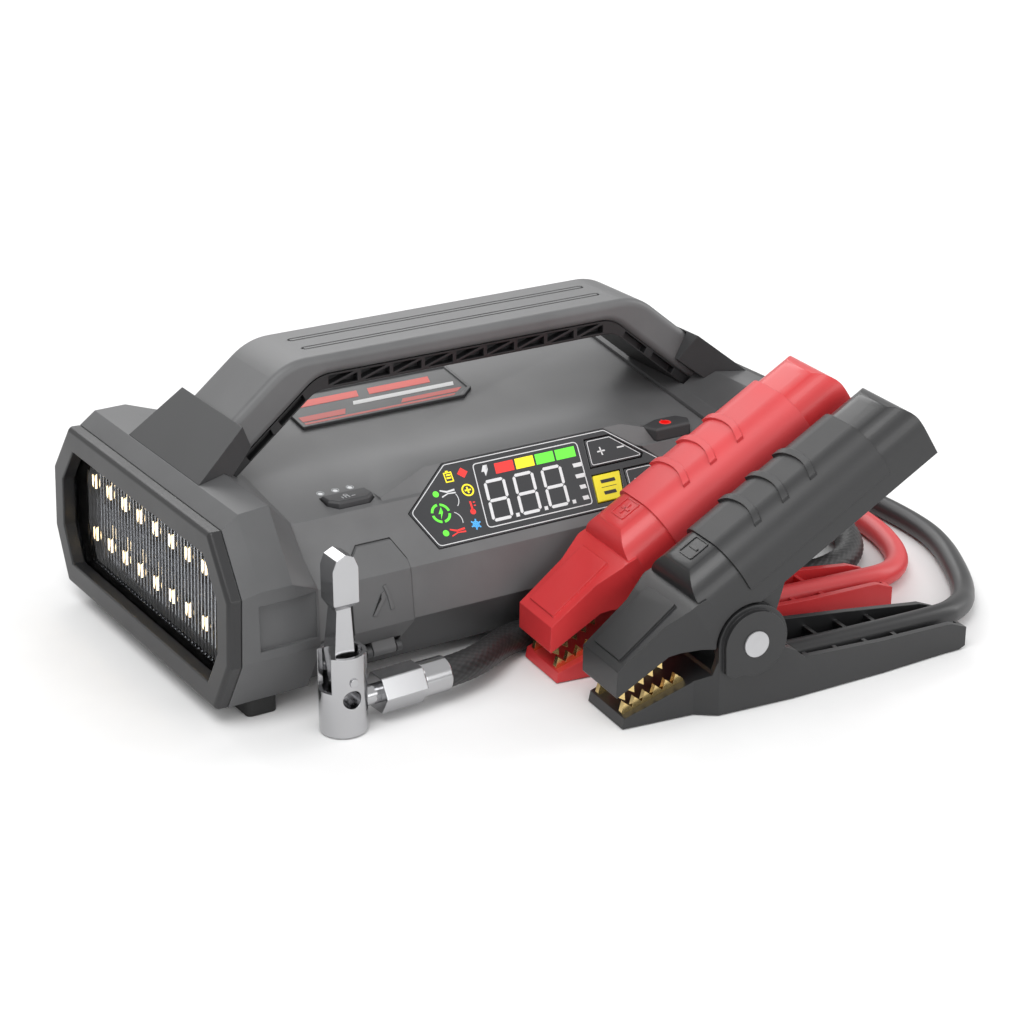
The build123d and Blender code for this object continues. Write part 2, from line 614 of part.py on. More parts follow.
with BuildPart() as pump_motor:
    with BuildSketch(Plane.YZ.offset(44.0)):
        with Locations((PINION_Y, PUMP_Z)):
            Circle(13.5)
    extrude(amount=28.0)
    with BuildSketch(Plane.YZ.offset(72.0)):
        with Locations((PINION_Y, PUMP_Z)):
            Circle(PINION_BORE - RUNNING)
    extrude(amount=10.0)
save(pump_motor, "pump_motor")

with BuildPart() as pump_frame:
    with BuildSketch(Plane.YZ.offset(72.0)):
        add(outline([(-32, 7.1), (34, 7.1), (34, 56), (0, 56), (-32, 46)]))
        with Locations((PINION_Y, PUMP_Z)):
            Circle(PINION_BORE - RUNNING, mode=Mode.SUBTRACT)
    extrude(amount=3.0)
    with BuildSketch(Plane.YZ.offset(75.0)):
        with Locations((CRANK_Y, PUMP_Z)):
            Circle(AXLE_RADIUS)
    extrude(amount=6.0)
    with BuildSketch(Plane.XY.offset(44.0)):
        with Locations((62.0, CRANK_Y + 14.0)):
            Circle(9.0)
    extrude(amount=14.0)
    with BuildSketch(Plane.XY.offset(43.0)):
        with Locations((62.0, CRANK_Y + 14.0)):
            Circle(6.55)
    extrude(amount=12.0, mode=Mode.SUBTRACT)
    with BuildSketch(Plane.XY.offset(46.0)):
        with Locations((71.0, CRANK_Y + 14.0)):
            Rectangle(4.0, 10.0)
    extrude(amount=8.0)
save(pump_frame, "pump_frame")

with BuildPart() as piston:
    with BuildSketch(Plane.XY.offset(45.0)):
        with Locations((62.0, CRANK_Y + 14.0)):
            Circle(6.5)
    extrude(amount=5.0)
    with BuildSketch(Plane.XY.offset(26.0)):
        with Locations((62.0, CRANK_Y + 14.0)):
            Rectangle(4.0, 6.0)
    extrude(amount=19.0)
save(piston, "pump_piston")

# ======== Air hose: elbow, tube, ferrule, nut and chuck ========
HOSE_RADIUS = HOSE_DIAMETER / 2
ELBOW_X, ELBOW_END_Y = 140.0, 26.0
with BuildPart() as elbow:
    with BuildSketch(Plane.YZ.offset(117.0)):
        with Locations((ELBOW_Y, ELBOW_Z)):
            Circle(3.9)
    extrude(amount=8.0)
    with BuildSketch(Plane.YZ.offset(HALF_LENGTH - 0.5)):
        with Locations((ELBOW_Y, ELBOW_Z)):
            Circle(8.0)
    extrude(amount=4.0)
    with BuildSketch(Plane.YZ.offset(HALF_LENGTH + 3.0)):
        with Locations((ELBOW_Y, ELBOW_Z)):
            Circle(6.2)
    extrude(amount=ELBOW_X - HALF_LENGTH - 3.0)
    with Locations((ELBOW_X, ELBOW_Y, ELBOW_Z)):
        Sphere(6.6)
    with BuildSketch(Plane.XZ.offset(-ELBOW_Y)):
        with Locations((ELBOW_X, ELBOW_Z)):
            Circle(6.2)
    extrude(amount=ELBOW_Y - ELBOW_END_Y)
save(elbow, "hose_elbow")

CHUCK_X, CHUCK_Y = -90.0, -85.0
CHUCK_HEIGHT = 28.5
CHUCK_RADIUS = 8.0
FITTING_Z = 9.7
FITTING_TURN = 3.0           # degrees of the hose fitting from +X
FITTING = Plane(origin=(CHUCK_X, CHUCK_Y, FITTING_Z),
                x_dir=(-sin(radians(FITTING_TURN)), cos(radians(FITTING_TURN)), 0),
                z_dir=(cos(radians(FITTING_TURN)), sin(radians(FITTING_TURN)), 0))
NECK_START, NUT_START, FERRULE_START, FERRULE_END = 7.2, 12.5, 28.5, 39.0
VALVE_BORE, VALVE_DEPTH = 4.2, 5.0
SEAL_RADIUS, SEAL_HEIGHT, SEAL_GAP = 5.0, 3.0, 0.3
LEVER_Z = 20.0

with BuildPart() as chuck:
    with Locations((CHUCK_X, CHUCK_Y, 0)):
        Cylinder(CHUCK_RADIUS, CHUCK_HEIGHT, align=(Align.CENTER, Align.CENTER, Align.MIN))
    fillet(chuck.edges().sort_by(Axis.Z)[0], radius=1.4)
    with Locations((CHUCK_X, CHUCK_Y, 14.5)):
        Cylinder(6.6, 20, align=(Align.CENTER, Align.CENTER, Align.MIN), mode=Mode.SUBTRACT)
    with Locations((CHUCK_X, CHUCK_Y, 0)):
        Cylinder(VALVE_BORE, VALVE_DEPTH, align=(Align.CENTER, Align.CENTER, Align.MIN), mode=Mode.SUBTRACT)
    with Locations((CHUCK_X, CHUCK_Y, VALVE_DEPTH)):
        Cylinder(SEAL_RADIUS, SEAL_HEIGHT, align=(Align.CENTER, Align.CENTER, Align.MIN), mode=Mode.SUBTRACT)
    with BuildSketch(Plane.XZ.offset(-CHUCK_Y)):
        with Locations((CHUCK_X, LEVER_Z)):
            Circle(1.5)
    extrude(amount=12, both=True, mode=Mode.SUBTRACT)
    with BuildSketch(Plane.XZ.offset(-CHUCK_Y)):
        with Locations((CHUCK_X - 0.5, 14.0)):
            Circle(3.2)
    extrude(amount=12, mode=Mode.SUBTRACT)
    with BuildSketch(Plane.YZ.offset(CHUCK_X - 10)):
        with Locations((CHUCK_Y, 23.0)):
            Rectangle(9.4, 14.0)
    extrude(amount=8, mode=Mode.SUBTRACT)
    with BuildSketch(FITTING.offset(NECK_START)):
        Circle(3.4)
    extrude(amount=NUT_START - NECK_START)
save(chuck, "chuck_barrel")

with BuildPart() as chuck_seal:
    with Locations((CHUCK_X, CHUCK_Y, VALVE_DEPTH + SEAL_GAP)):
        Cylinder(SEAL_RADIUS, SEAL_HEIGHT - SEAL_GAP, align=(Align.CENTER, Align.CENTER, Align.MIN))
        Cylinder(2.4, SEAL_HEIGHT - SEAL_GAP, align=(Align.CENTER, Align.CENTER, Align.MIN),
                 mode=Mode.SUBTRACT)
save(chuck_seal, "chuck_seal")

with BuildPart() as lever_pin:
    with BuildSketch(Plane.XZ.offset(-CHUCK_Y - 8.6)):
        with Locations((CHUCK_X, LEVER_Z)):
            Circle(1.5)
    extrude(amount=17.2)
save(lever_pin, "lever_pin")

# The foot's corners are cut so that they turn inside the barrel
LEVER_SIDE = [(-3.6, 17.2), (-2.4, 15.9), (2.2, 15.9), (3.4, 17.4), (3.4, 27.0), (2.6, 29.0), (2.2, 44.5),
              (4.6, 46.0), (4.6, 58.0), (3.2, 61.5), (0.0, 63.0), (-3.2, 61.5), (-4.6, 58.0), (-4.6, 46.5),
              (-3.0, 43.5), (-4.4, 29.0)]
LEVER_FRONT = [(-4.2, 15), (4.2, 15), (4.2, 27), (3.0, 44), (4.4, 46), (4.4, 64), (-4.4, 64), (-4.4, 46),
               (-3.0, 44), (-4.2, 27)]
with BuildPart() as lever:
    with BuildSketch(Plane.XZ.offset(-CHUCK_Y)):
        add(outline([(CHUCK_X + x, z) for x, z in LEVER_SIDE]))
    extrude(amount=6, both=True)
    with BuildSketch(Plane.YZ.offset(CHUCK_X - 10)):
        add(outline([(CHUCK_Y + y, z) for y, z in LEVER_FRONT]))
    extrude(amount=20, mode=Mode.INTERSECT)
    with BuildSketch(Plane.YZ.offset(CHUCK_X + 0.6)):
        add(outline([(CHUCK_Y - 3.0, 26.0), (CHUCK_Y + 3.0, 26.0),
                     (CHUCK_Y + 1.9, 44.0), (CHUCK_Y - 1.9, 44.0)]))
    extrude(amount=6, mode=Mode.SUBTRACT)
    with BuildSketch(Plane.YZ.offset(CHUCK_X + 0.6)):
        add(outline([(CHUCK_Y - 0.5, 26.0), (CHUCK_Y + 0.5, 26.0),
                     (CHUCK_Y + 0.4, 44.0), (CHUCK_Y - 0.4, 44.0)]))
    extrude(amount=1.6)
    with BuildSketch(Plane.XZ.offset(-CHUCK_Y)):
        with Locations((CHUCK_X, LEVER_Z)):
            Circle(1.55)
    extrude(amount=12, both=True, mode=Mode.SUBTRACT)
save(lever, "chuck_lever")

with BuildPart() as nut:
    with BuildSketch(FITTING.offset(NUT_START)):
        RegularPolygon(6.3, 6, major_radius=False)
    extrude(amount=FERRULE_START - NUT_START)
save(nut, "hose_nut")

with BuildPart() as ferrule:
    with BuildSketch(FITTING.offset(FERRULE_START)):
        Circle(6.1)
    extrude(amount=FERRULE_END - FERRULE_START)
save(ferrule, "hose_ferrule")


def point_on(plane, distance):
    place = plane.offset(distance).origin
    return (place.X, place.Y, place.Z)


HOSE_ROUTE = [
    point_on(FITTING, FERRULE_END), point_on(FITTING, FERRULE_END + 12.0),
    (-15.9, -63.8, 5.6), (8.0, -62.0, 5.4), (44.0, -62.8, 5.4), (70.0, -64.6, 5.4), (94.0, -71.4, 5.4),
    (110.5, -75.4, 5.4), (126.5, -72.0, 5.4), (139.3, -61.8, 5.4), (146.2, -47.0, 6.2),
    (145.8, -27.0, 10.6), (143.2, -8.0, 19.0), (ELBOW_X, 9.0, ELBOW_Z), (ELBOW_X, ELBOW_END_Y, ELBOW_Z),
]


def tube(route, radius, name):
    """Round cord along straight runs joined by tangent arcs as large as the runs allow."""
    points = [Vector(*p) for p in route]
    shares = [0.94] + [0.48] * (len(points) - 3) + [0.94]
    runs = [share * (b - a).length for share, a, b in zip(shares, points, points[1:])]
    radii = []
    for i in range(1, len(points) - 1):
        turn = (points[i] - points[i - 1]).get_angle(points[i + 1] - points[i])
        radii.append(min(min(runs[i - 1], runs[i]) / tan(radians(turn / 2)), 400.0))
    with BuildPart() as cord:
        with BuildLine() as path:
            FilletPolyline(*points, radius=radii)
        with BuildSketch(Plane(origin=points[0], z_dir=points[1] - points[0])):
            Circle(radius)
        sweep(path=path.wires()[0])
    length = path.wires()[0].length
    print(f"{name}: {length:.1f} mm, volume ratio {cord.part.volume / (pi * radius ** 2 * length):.3f}, "
          f"radii {[round(r, 1) for r in radii]}")
    save(cord, name)


tube(HOSE_ROUTE, HOSE_RADIUS, "air_hose")

# ======== Battery clamps ========
# A clamp is drawn with its lower arm along X from the tip, then turned and placed.
PIN_RADIUS = 2.5
LOWER_PLAN = [(0, 11.8), (26, 12.6), (33, 17.0), (62, 17.0), (100, 14.2), (128, 10.9), (136.5, 10.5)]
LOWER_SIDE = [(0, 0.4), (0.8, 4.0), (25, 12.0), (31, 14.8), (34, 24.5), (45.5, 33), (57.5, 24.5), (58, 20.0),
              (62, 18.2), (66, 14.5), (98, 12.6), (130, 11.0), (136.5, 8.5), (136.5, 1.5), (134, 0.4)]
UPPER_JAW = [(4.4, 11.2), (26, 11.2), (36, 6.6), (41.0, 3.0), (46, 3.0), (46, 22.0), (41.2, 22.7),
             (9.3, 19.3),
             (4.4, 11.7)]
UPPER_PLAN = [(4, 11.6), (30, 12.6), (40, 16.2), (50, 16.2)]
EAR_WEB = [(36, 6.6), (41, 3.0), (43, -8.5), (58, -11.0), (63.5, -3.0), (68, 1.0), (75, 7.5),
           (75, 12.0), (38, 12.0)]
EAR_FOOT = [(32.5, 24.5), (32.8, 14.4), (36.4, 12.0), (54.0, 14.4), (58.5, 24.5)]
COVER_FOOT = [(34.1, 24.5), (34.5, 15.4), (37.2, 13.6), (52.8, 15.9), (56.9, 24.5)]
HANDLE_START, HANDLE_END = 43.0, 139.0
TOOTH_PITCH = 4.0
ARM = Plane(origin=(0, 0, 0), z_dir=(0, -1, 0),
            x_dir=(cos(radians(HANDLE_RISE)), 0, sin(radians(HANDLE_RISE))))


def both_sides(half):
    return half + [(x, -y) for x, y in half[::-1]]


def across(plane, points, low, high):
    """Prism of a side outline between two distances either side of the clamp's middle."""
    with BuildPart() as prism:
        with BuildSketch(plane.offset(low)):
            add(outline(points))
        extrude(amount=high - low)
        if low > 0:
            mirror(about=Plane.XZ)
    return prism.part


def pivot_disc(radius, low, high):
    """Discs about the pivot on both sides of the clamp, or one from side to side where low is 0."""
    with BuildPart() as disc:
        with BuildSketch(Plane.XZ.offset(low)):
            with Locations((PIVOT_U, PIVOT_Z)):
                Circle(radius)
        extrude(amount=high - low)
        mirror(about=Plane.XZ)
    return disc.part


def handle_section(start, end, grow):
    """Length of the upper handle's outer form: flat sides and a broad crown, rounded down at both ends."""
    face = Plane(origin=ARM.from_local_coords((start, 0, 0)), x_dir=(0, 1, 0), z_dir=ARM.x_dir)
    with BuildPart() as form:
        with BuildSketch(face) as shape:
            with BuildLine():
                low, top, half = 7.0, 29.3 + grow, 16.2 + grow
                FilletPolyline((-half, low), (-half, top), (half, top), (half, low), radius=12.0)
                Line((half, low), (-half, low))
            make_face()
        extrude(amount=end - start)
        with BuildSketch(ARM):
            with BuildLine():
                first, last, top = HANDLE_START - grow, HANDLE_END + grow, 29.3 + grow
                FilletPolyline((first, 7.0), (first, top), (last, top), (last, 7.0), radius=8.0)
                Line((last, 7.0), (first, 7.0))
            make_face()
        extrude(amount=30, both=True, mode=Mode.INTERSECT)
    return form.part


def tooth_strip(plane, start, base, count, height, side):
    """Brass strip with pointed teeth along the edge of a jaw. side is +1 where the teeth point up."""
    profile = [(start, base), (start, base + side * 0.8)]
    for i in range(count):
        left = start + i * TOOTH_PITCH
        profile += [(left + TOOTH_PITCH / 2, base + side * height), (left + TOOTH_PITCH, base + side * 0.8)]
    profile.append((start + count * TOOTH_PITCH, base))
    return across(plane, profile, 7.0, 9.0)


JAW_ANGLE = degrees(atan2(8.0, 24.2))
JAW_FACE = Plane(origin=(0.8, 0, 4.0), z_dir=(0, -1, 0),
                 x_dir=(cos(radians(JAW_ANGLE)), 0, sin(radians(JAW_ANGLE))))

with BuildPart() as lower_arm:
    with BuildSketch(Plane.XY):
        add(outline(both_sides(LOWER_PLAN)))
    extrude(amount=40)
    add(across(Plane.XZ.offset(-30), LOWER_SIDE, 0, 60), mode=Mode.INTERSECT)
    add(pivot_disc(13.0, 14.0, 17.0))
    add(across(Plane.XZ, EAR_FOOT, 14.0, 17.0))
    add(pivot_disc(11.4, 17.0, 18.8))
    add(across(Plane.XZ, COVER_FOOT, 17.0, 18.8))
    add(across(Plane.XZ.offset(-14), [(32.4, 9.0), (61.0, 9.0), (61.0, 50), (20, 50), (31.6, 16)], 0, 28),
        mode=Mode.SUBTRACT)
    with BuildSketch(Plane.XY.offset(3.4)):
        add(outline(both_sides([(62.4, 14.4), (100, 11.8), (128, 8.5), (134.2, 8.1)])))
    extrude(amount=20, mode=Mode.SUBTRACT)
    with Locations((134.4, 1.5, 2.2)):
        Box(7, 14.6, 20, align=(Align.CENTER, Align.CENTER, Align.MIN), mode=Mode.SUBTRACT)
    for u in (70, 84, 96):
        with Locations((u, 0, 0)):
            Box(2.0, 20.0, 0.5, align=(Align.CENTER, Align.CENTER, Align.MIN))
    for u, wall in ((73, 13.8), (85, 13.0), (97, 12.1), (109, 11.0)):
        with Locations((u, (wall + 5.0) / 2, 3.4), (u, -(wall + 5.0) / 2, 3.4)):
            Box(1.5, wall - 5.0, 6.6, align=(Align.CENTER, Align.CENTER, Align.MIN))
    with BuildSketch(Plane.XZ):
        with Locations((PIVOT_U, PIVOT_Z)):
            Circle(PIN_RADIUS)
    extrude(amount=30, both=True, mode=Mode.SUBTRACT)
with BuildPart() as upper_arm:
    with BuildSketch(ARM.offset(-30)):
        add(outline(UPPER_JAW))
    extrude(amount=60)
    arm_top = Plane(origin=(0, 0, 0), x_dir=ARM.x_dir, z_dir=ARM.y_dir)
    with BuildSketch(arm_top.offset(-20)):
        add(outline(both_sides(UPPER_PLAN)))
    extrude(amount=60, mode=Mode.INTERSECT)
    add(across(ARM.offset(-20), [(27, 9.0), (60, 9.0), (60, 2.0), (40, 2.0), (34, 5.0)], 0, 1.0),
        mode=Mode.SUBTRACT)
    add(across(ARM, [(12.5, 19.0), (12.5, 20.4), (38.0, 23.2), (38.0, 21.5)], 0.0, 8.6))
    add(across(ARM, [(12.5, 19.0), (12.5, 20.4), (38.0, 23.2), (38.0, 21.5)], -8.6, 0.0))
    add(handle_section(HANDLE_START, HANDLE_END, 0.0))
    add(handle_section(HANDLE_START + 4, HANDLE_END - 3.0, -2.4), mode=Mode.SUBTRACT)
    add(pivot_disc(13.6, 13.7, 20.0), mode=Mode.SUBTRACT)
    add(across(ARM, EAR_WEB, 9.8, 13.4))
    add(pivot_disc(11.6, 9.8, 13.4))
    with BuildSketch(Plane.XZ):
        with Locations((PIVOT_U, PIVOT_Z)):
            Circle(PIN_RADIUS + 0.06)
    extrude(amount=30, both=True, mode=Mode.SUBTRACT)
with BuildPart() as grip:
    add(handle_section(60.0, 121.0, 0.9))
    add(handle_section(59.0, 122.0, 0.0), mode=Mode.SUBTRACT)
    add(across(ARM.offset(-40), [(50, 0), (130, 0), (130, 14), (50, 14)], 0, 80), mode=Mode.SUBTRACT)
    for s in (76.0, 88.0, 100.0):
        with BuildPart(mode=Mode.PRIVATE) as crescent:
            with BuildSketch(Plane(origin=(0, 0, 0), x_dir=ARM.x_dir, z_dir=ARM.y_dir)):
                with Locations((s - 22.0, 0)):
                    Circle(25.2)
                    Circle(22.8, mode=Mode.SUBTRACT)
            extrude(amount=60)
            add(handle_section(s - 8, s + 6, 1.7), mode=Mode.INTERSECT)
            add(handle_section(s - 9, s + 7, 0.8), mode=Mode.SUBTRACT)
            with BuildSketch(Plane(origin=(0, 0, 0), x_dir=ARM.x_dir, z_dir=ARM.y_dir)):
                with Locations((s, 0)):
                    Rectangle(40, 23)
            extrude(amount=60, mode=Mode.INTERSECT)
        add(crescent.part)
with BuildPart() as rivet:
    add(pivot_disc(PIN_RADIUS, 0.0, 18.9))
    add(pivot_disc(4.5, 18.8, 19.4))
SPRING_RADIUS, SPRING_WIRE, SPRING_TURNS = 5.2, 0.7, 6
with BuildPart() as spring:
    with BuildLine() as coil:
        Helix(pitch=1.9, height=1.9 * SPRING_TURNS, radius=SPRING_RADIUS)
    with BuildSketch(Plane(origin=coil.line @ 0, z_dir=coil.line % 0)):
        Circle(SPRING_WIRE)
    sweep(is_frenet=True)
PIECES = {
    "clamp_lower": lower_arm.part,
    "clamp_upper": upper_arm.part,
    "clamp_grip": grip.part,
    "upper_teeth": tooth_strip(ARM, 4.8, 11.2, 5, 4.6, -1),
}

SHARED = {
    "clamp_rivets": rivet.part,
    "clamp_springs": spring.part.moved(Location((PIVOT_U, 1.9 * SPRING_TURNS / 2, PIVOT_Z), (90, 0, 0))),
    "lower_teeth": tooth_strip(JAW_FACE, 0.6, 0.0, 6, 3.8, 1),
}
PLACES = {colour: Location((x, y, 0), (0, 0, CLAMP_TURN)) for colour, (x, y) in CLAMP_ORIGINS.items()}
for colour, place in PLACES.items():
    for name, shape in PIECES.items():
        save(Part() + shape.moved(place), f"{colour}_{name}")
for name, shape in SHARED.items():
    save(Part() + [shape.moved(place) for place in PLACES.values()], name)

# ======== Clamp cables and the plug they end in ========
CABLE_Z = 8.2
FLOOR_Z = CABLE_DIAMETER / 2 + 0.1
PLUG_CENTRE, PLUG_SIZE = (62.0, 92.0, 7.0), (42.0, 22.0, 13.0)
PLUG_ENTRY_X = PLUG_CENTRE[0] + PLUG_SIZE[0] / 2
ENTRY_PITCH = 10.4


def along_clamp(colour, u):
    x, y = CLAMP_ORIGINS[colour]
    return (x + u * cos(radians(CLAMP_TURN)), y + u * sin(radians(CLAMP_TURN)), CABLE_Z)


BLACK_ROUTE = [
    along_clamp("black", 66), along_clamp("black", 131),
    (135.5, -126.5, 6.4), (146.5, -116.5, FLOOR_Z), (156.5, -103.0, FLOOR_Z), (172.6, -73.0, FLOOR_Z),
    (176.6, -47.0, FLOOR_Z), (176.0, -20.0, FLOOR_Z), (172.5, 10.0, FLOOR_Z), (163.0, 38.0, FLOOR_Z),
    (143.0, 68.0, FLOOR_Z), (120.0, 90.0, 5.0), (100.0, PLUG_CENTRE[1] + ENTRY_PITCH / 2, 7.0),
    (PLUG_ENTRY_X, PLUG_CENTRE[1] + ENTRY_PITCH / 2, 7.0),
]
RED_ROUTE = [
    along_clamp("red", 66), along_clamp("red", 130),
    (134.0, -90.5, 6.2), (148.0, -78.8, FLOOR_Z), (157.2, -60.0, FLOOR_Z), (161.5, -38.0, FLOOR_Z),
    (161.5, -10.0, FLOOR_Z), (157.0, 18.0, FLOOR_Z), (147.0, 44.0, FLOOR_Z), (128.0, 66.0, FLOOR_Z),
    (107.0, 82.6, 5.2), (96.0, PLUG_CENTRE[1] - ENTRY_PITCH / 2, 7.0),
    (PLUG_ENTRY_X, PLUG_CENTRE[1] - ENTRY_PITCH / 2, 7.0),
]
tube(BLACK_ROUTE, CABLE_DIAMETER / 2, "black_cable")
tube(RED_ROUTE, CABLE_DIAMETER / 2, "red_cable")

with BuildPart() as plug:
    with Locations(PLUG_CENTRE):
        Box(*PLUG_SIZE)
    chamfer(plug.edges(), length=1.0)
    with BuildSketch(Plane.YZ.offset(PLUG_CENTRE[0] - PLUG_SIZE[0] / 2 - 11)):
        with Locations((PLUG_CENTRE[1] - SOCKET_PITCH / 2, 7.0), (PLUG_CENTRE[1] + SOCKET_PITCH / 2, 7.0)):
            Circle(2.4)
    extrude(amount=12)
save(plug, "jump_plug")
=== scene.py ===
"""Jump starter pack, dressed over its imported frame. Metres, in the frame of the CAD."""

import json
import math

import bmesh
import bpy
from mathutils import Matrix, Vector


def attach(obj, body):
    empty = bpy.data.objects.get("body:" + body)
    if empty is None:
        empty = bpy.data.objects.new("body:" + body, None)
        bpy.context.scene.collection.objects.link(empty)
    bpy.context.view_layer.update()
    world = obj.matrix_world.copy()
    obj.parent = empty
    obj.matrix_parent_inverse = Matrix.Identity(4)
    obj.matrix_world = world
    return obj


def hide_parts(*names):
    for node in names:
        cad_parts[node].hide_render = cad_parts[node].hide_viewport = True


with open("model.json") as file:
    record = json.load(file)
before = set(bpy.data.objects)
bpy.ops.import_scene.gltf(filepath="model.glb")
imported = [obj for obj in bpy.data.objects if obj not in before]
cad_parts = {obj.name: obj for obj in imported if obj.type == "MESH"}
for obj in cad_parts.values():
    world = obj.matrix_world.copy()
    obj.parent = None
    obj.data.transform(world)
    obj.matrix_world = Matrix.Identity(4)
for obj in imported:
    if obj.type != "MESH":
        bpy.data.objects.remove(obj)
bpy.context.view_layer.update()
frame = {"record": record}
MM = 0.001

# ======== Camera, lights and floor ========
scene = bpy.context.scene
AZIMUTH, ELEVATION, DISTANCE = math.radians(-31.757), math.radians(22.051), 0.91485
TARGET = Vector((0.02682, 0.0, 0.02201))
SENSOR_WIDTH, FOCAL_LENGTH = 36.0, 86.496328125    # mm
eye = TARGET + DISTANCE * Vector((math.sin(AZIMUTH) * math.cos(ELEVATION),
                                  -math.cos(AZIMUTH) * math.cos(ELEVATION), math.sin(ELEVATION)))
camera = bpy.data.objects.new("camera", bpy.data.cameras.new("camera"))
scene.collection.objects.link(camera)
camera.location = eye
camera.rotation_euler = (TARGET - eye).to_track_quat("-Z", "Y").to_euler()
camera.data.sensor_width = SENSOR_WIDTH
camera.data.lens = FOCAL_LENGTH
camera.data.clip_start = 0.02
scene.camera = camera
scene.view_settings.view_transform = "Standard"


def area_light(name, place, aim, size, watts, colour=(1, 1, 1)):
    light = bpy.data.lights.new(name, "AREA")
    light.shape = "RECTANGLE"
    light.size, light.size_y = size
    light.energy = watts
    light.color = colour
    lamp = bpy.data.objects.new(name, light)
    lamp.location = place
    lamp.rotation_euler = (Vector(aim) - Vector(place)).to_track_quat("-Z", "Y").to_euler()
    scene.collection.objects.link(lamp)


area_light("key", (-0.7, -0.5, 1.5), (0, 0, 0.05), (0.9, 0.9), 13)
area_light("front_fill", (0.2, -1.8, 0.7), (0.03, 0, 0.04), (1.6, 0.7), 9)
area_light("right_fill", (1.5, -0.3, 0.8), (0.05, 0, 0.04), (0.5, 1.2), 7)
area_light("back_rim", (0.3, 1.4, 1.0), (0, 0, 0.05), (1.4, 0.6), 9)

world = bpy.data.worlds.new("studio")
world.use_nodes = True
world.node_tree.nodes["Background"].inputs["Color"].default_value = (1, 1, 1, 1)
world.node_tree.nodes["Background"].inputs["Strength"].default_value = 0.72
scene.world = world


# ======== Materials ========
def shader(name):
    mat = bpy.data.materials.new(name)
    mat.use_nodes = True
    nodes, links = mat.node_tree.nodes, mat.node_tree.links
    return mat, nodes, links, nodes["Principled BSDF"]


def grainy(name, colour, rough=0.5, grain=1500.0, depth=0.03, vary=0.1, metallic=0.0, edge=0.0004,
           coat=0.0, spread=0.08, specular=0.5, sheen=0.0):
    """Moulded or cast surface: cloudy colour and gloss, a fine grain, and edges that catch the light."""
    mat, nodes, links, bsdf = shader(name)
    coords = nodes.new("ShaderNodeTexCoord")
    clouds = nodes.new("ShaderNodeTexNoise")
    clouds.inputs["Scale"].default_value = 45.0
    clouds.inputs["Detail"].default_value = 4.0
    links.new(coords.outputs["Object"], clouds.inputs["Vector"])
    ramp = nodes.new("ShaderNodeValToRGB")
    ramp.color_ramp.elements[0].position, ramp.color_ramp.elements[1].position = 0.3, 0.7
    ramp.color_ramp.elements[0].color = (*[c * (1 - vary) for c in colour], 1)
    ramp.color_ramp.elements[1].color = (*[min(1, c * (1 + vary)) for c in colour], 1)
    links.new(clouds.outputs["Fac"], ramp.inputs["Fac"])
    links.new(ramp.outputs["Color"], bsdf.inputs["Base Color"])
    gloss = nodes.new("ShaderNodeMapRange")
    gloss.inputs["To Min"].default_value = max(0.02, rough - spread)
    gloss.inputs["To Max"].default_value = min(1.0, rough + spread)
    links.new(clouds.outputs["Fac"], gloss.inputs["Value"])
    links.new(gloss.outputs["Result"], bsdf.inputs["Roughness"])
    fine = nodes.new("ShaderNodeTexNoise")
    fine.inputs["Scale"].default_value = grain
    fine.inputs["Detail"].default_value = 2.0
    links.new(coords.outputs["Object"], fine.inputs["Vector"])
    bump = nodes.new("ShaderNodeBump")
    bump.inputs["Strength"].default_value = 0.35
    bump.inputs["Distance"].default_value = depth * MM
    links.new(fine.outputs["Fac"], bump.inputs["Height"])
    if edge:
        bevel = nodes.new("ShaderNodeBevel")
        bevel.samples = 4
        bevel.inputs["Radius"].default_value = edge
        links.new(bevel.outputs["Normal"], bump.inputs["Normal"])
    links.new(bump.outputs["Normal"], bsdf.inputs["Normal"])
    bsdf.inputs["Metallic"].default_value = metallic
    bsdf.inputs["Coat Weight"].default_value = coat
    bsdf.inputs["Specular IOR Level"].default_value = specular
    bsdf.inputs["Sheen Weight"].default_value = sheen
    return mat


def printed(name, colour, glow=0.0, rough=0.4):
    """Ink or a lit segment on the display."""
    mat, nodes, links, bsdf = shader(name)
    coords = nodes.new("ShaderNodeTexCoord")
    speck = nodes.new("ShaderNodeTexNoise")
    speck.inputs["Scale"].default_value = 900.0
    links.new(coords.outputs["Object"], speck.inputs["Vector"])
    ramp = nodes.new("ShaderNodeValToRGB")
    ramp.color_ramp.elements[0].color = (*[c * 0.93 for c in colour], 1)
    ramp.color_ramp.elements[1].color = (*colour, 1)
    links.new(speck.outputs["Fac"], ramp.inputs["Fac"])
    links.new(ramp.outputs["Color"], bsdf.inputs["Base Color"])
    bsdf.inputs["Roughness"].default_value = rough
    if glow:
        bsdf.inputs["Emission Color"].default_value = (*colour, 1)
        bsdf.inputs["Emission Strength"].default_value = glow
    return mat


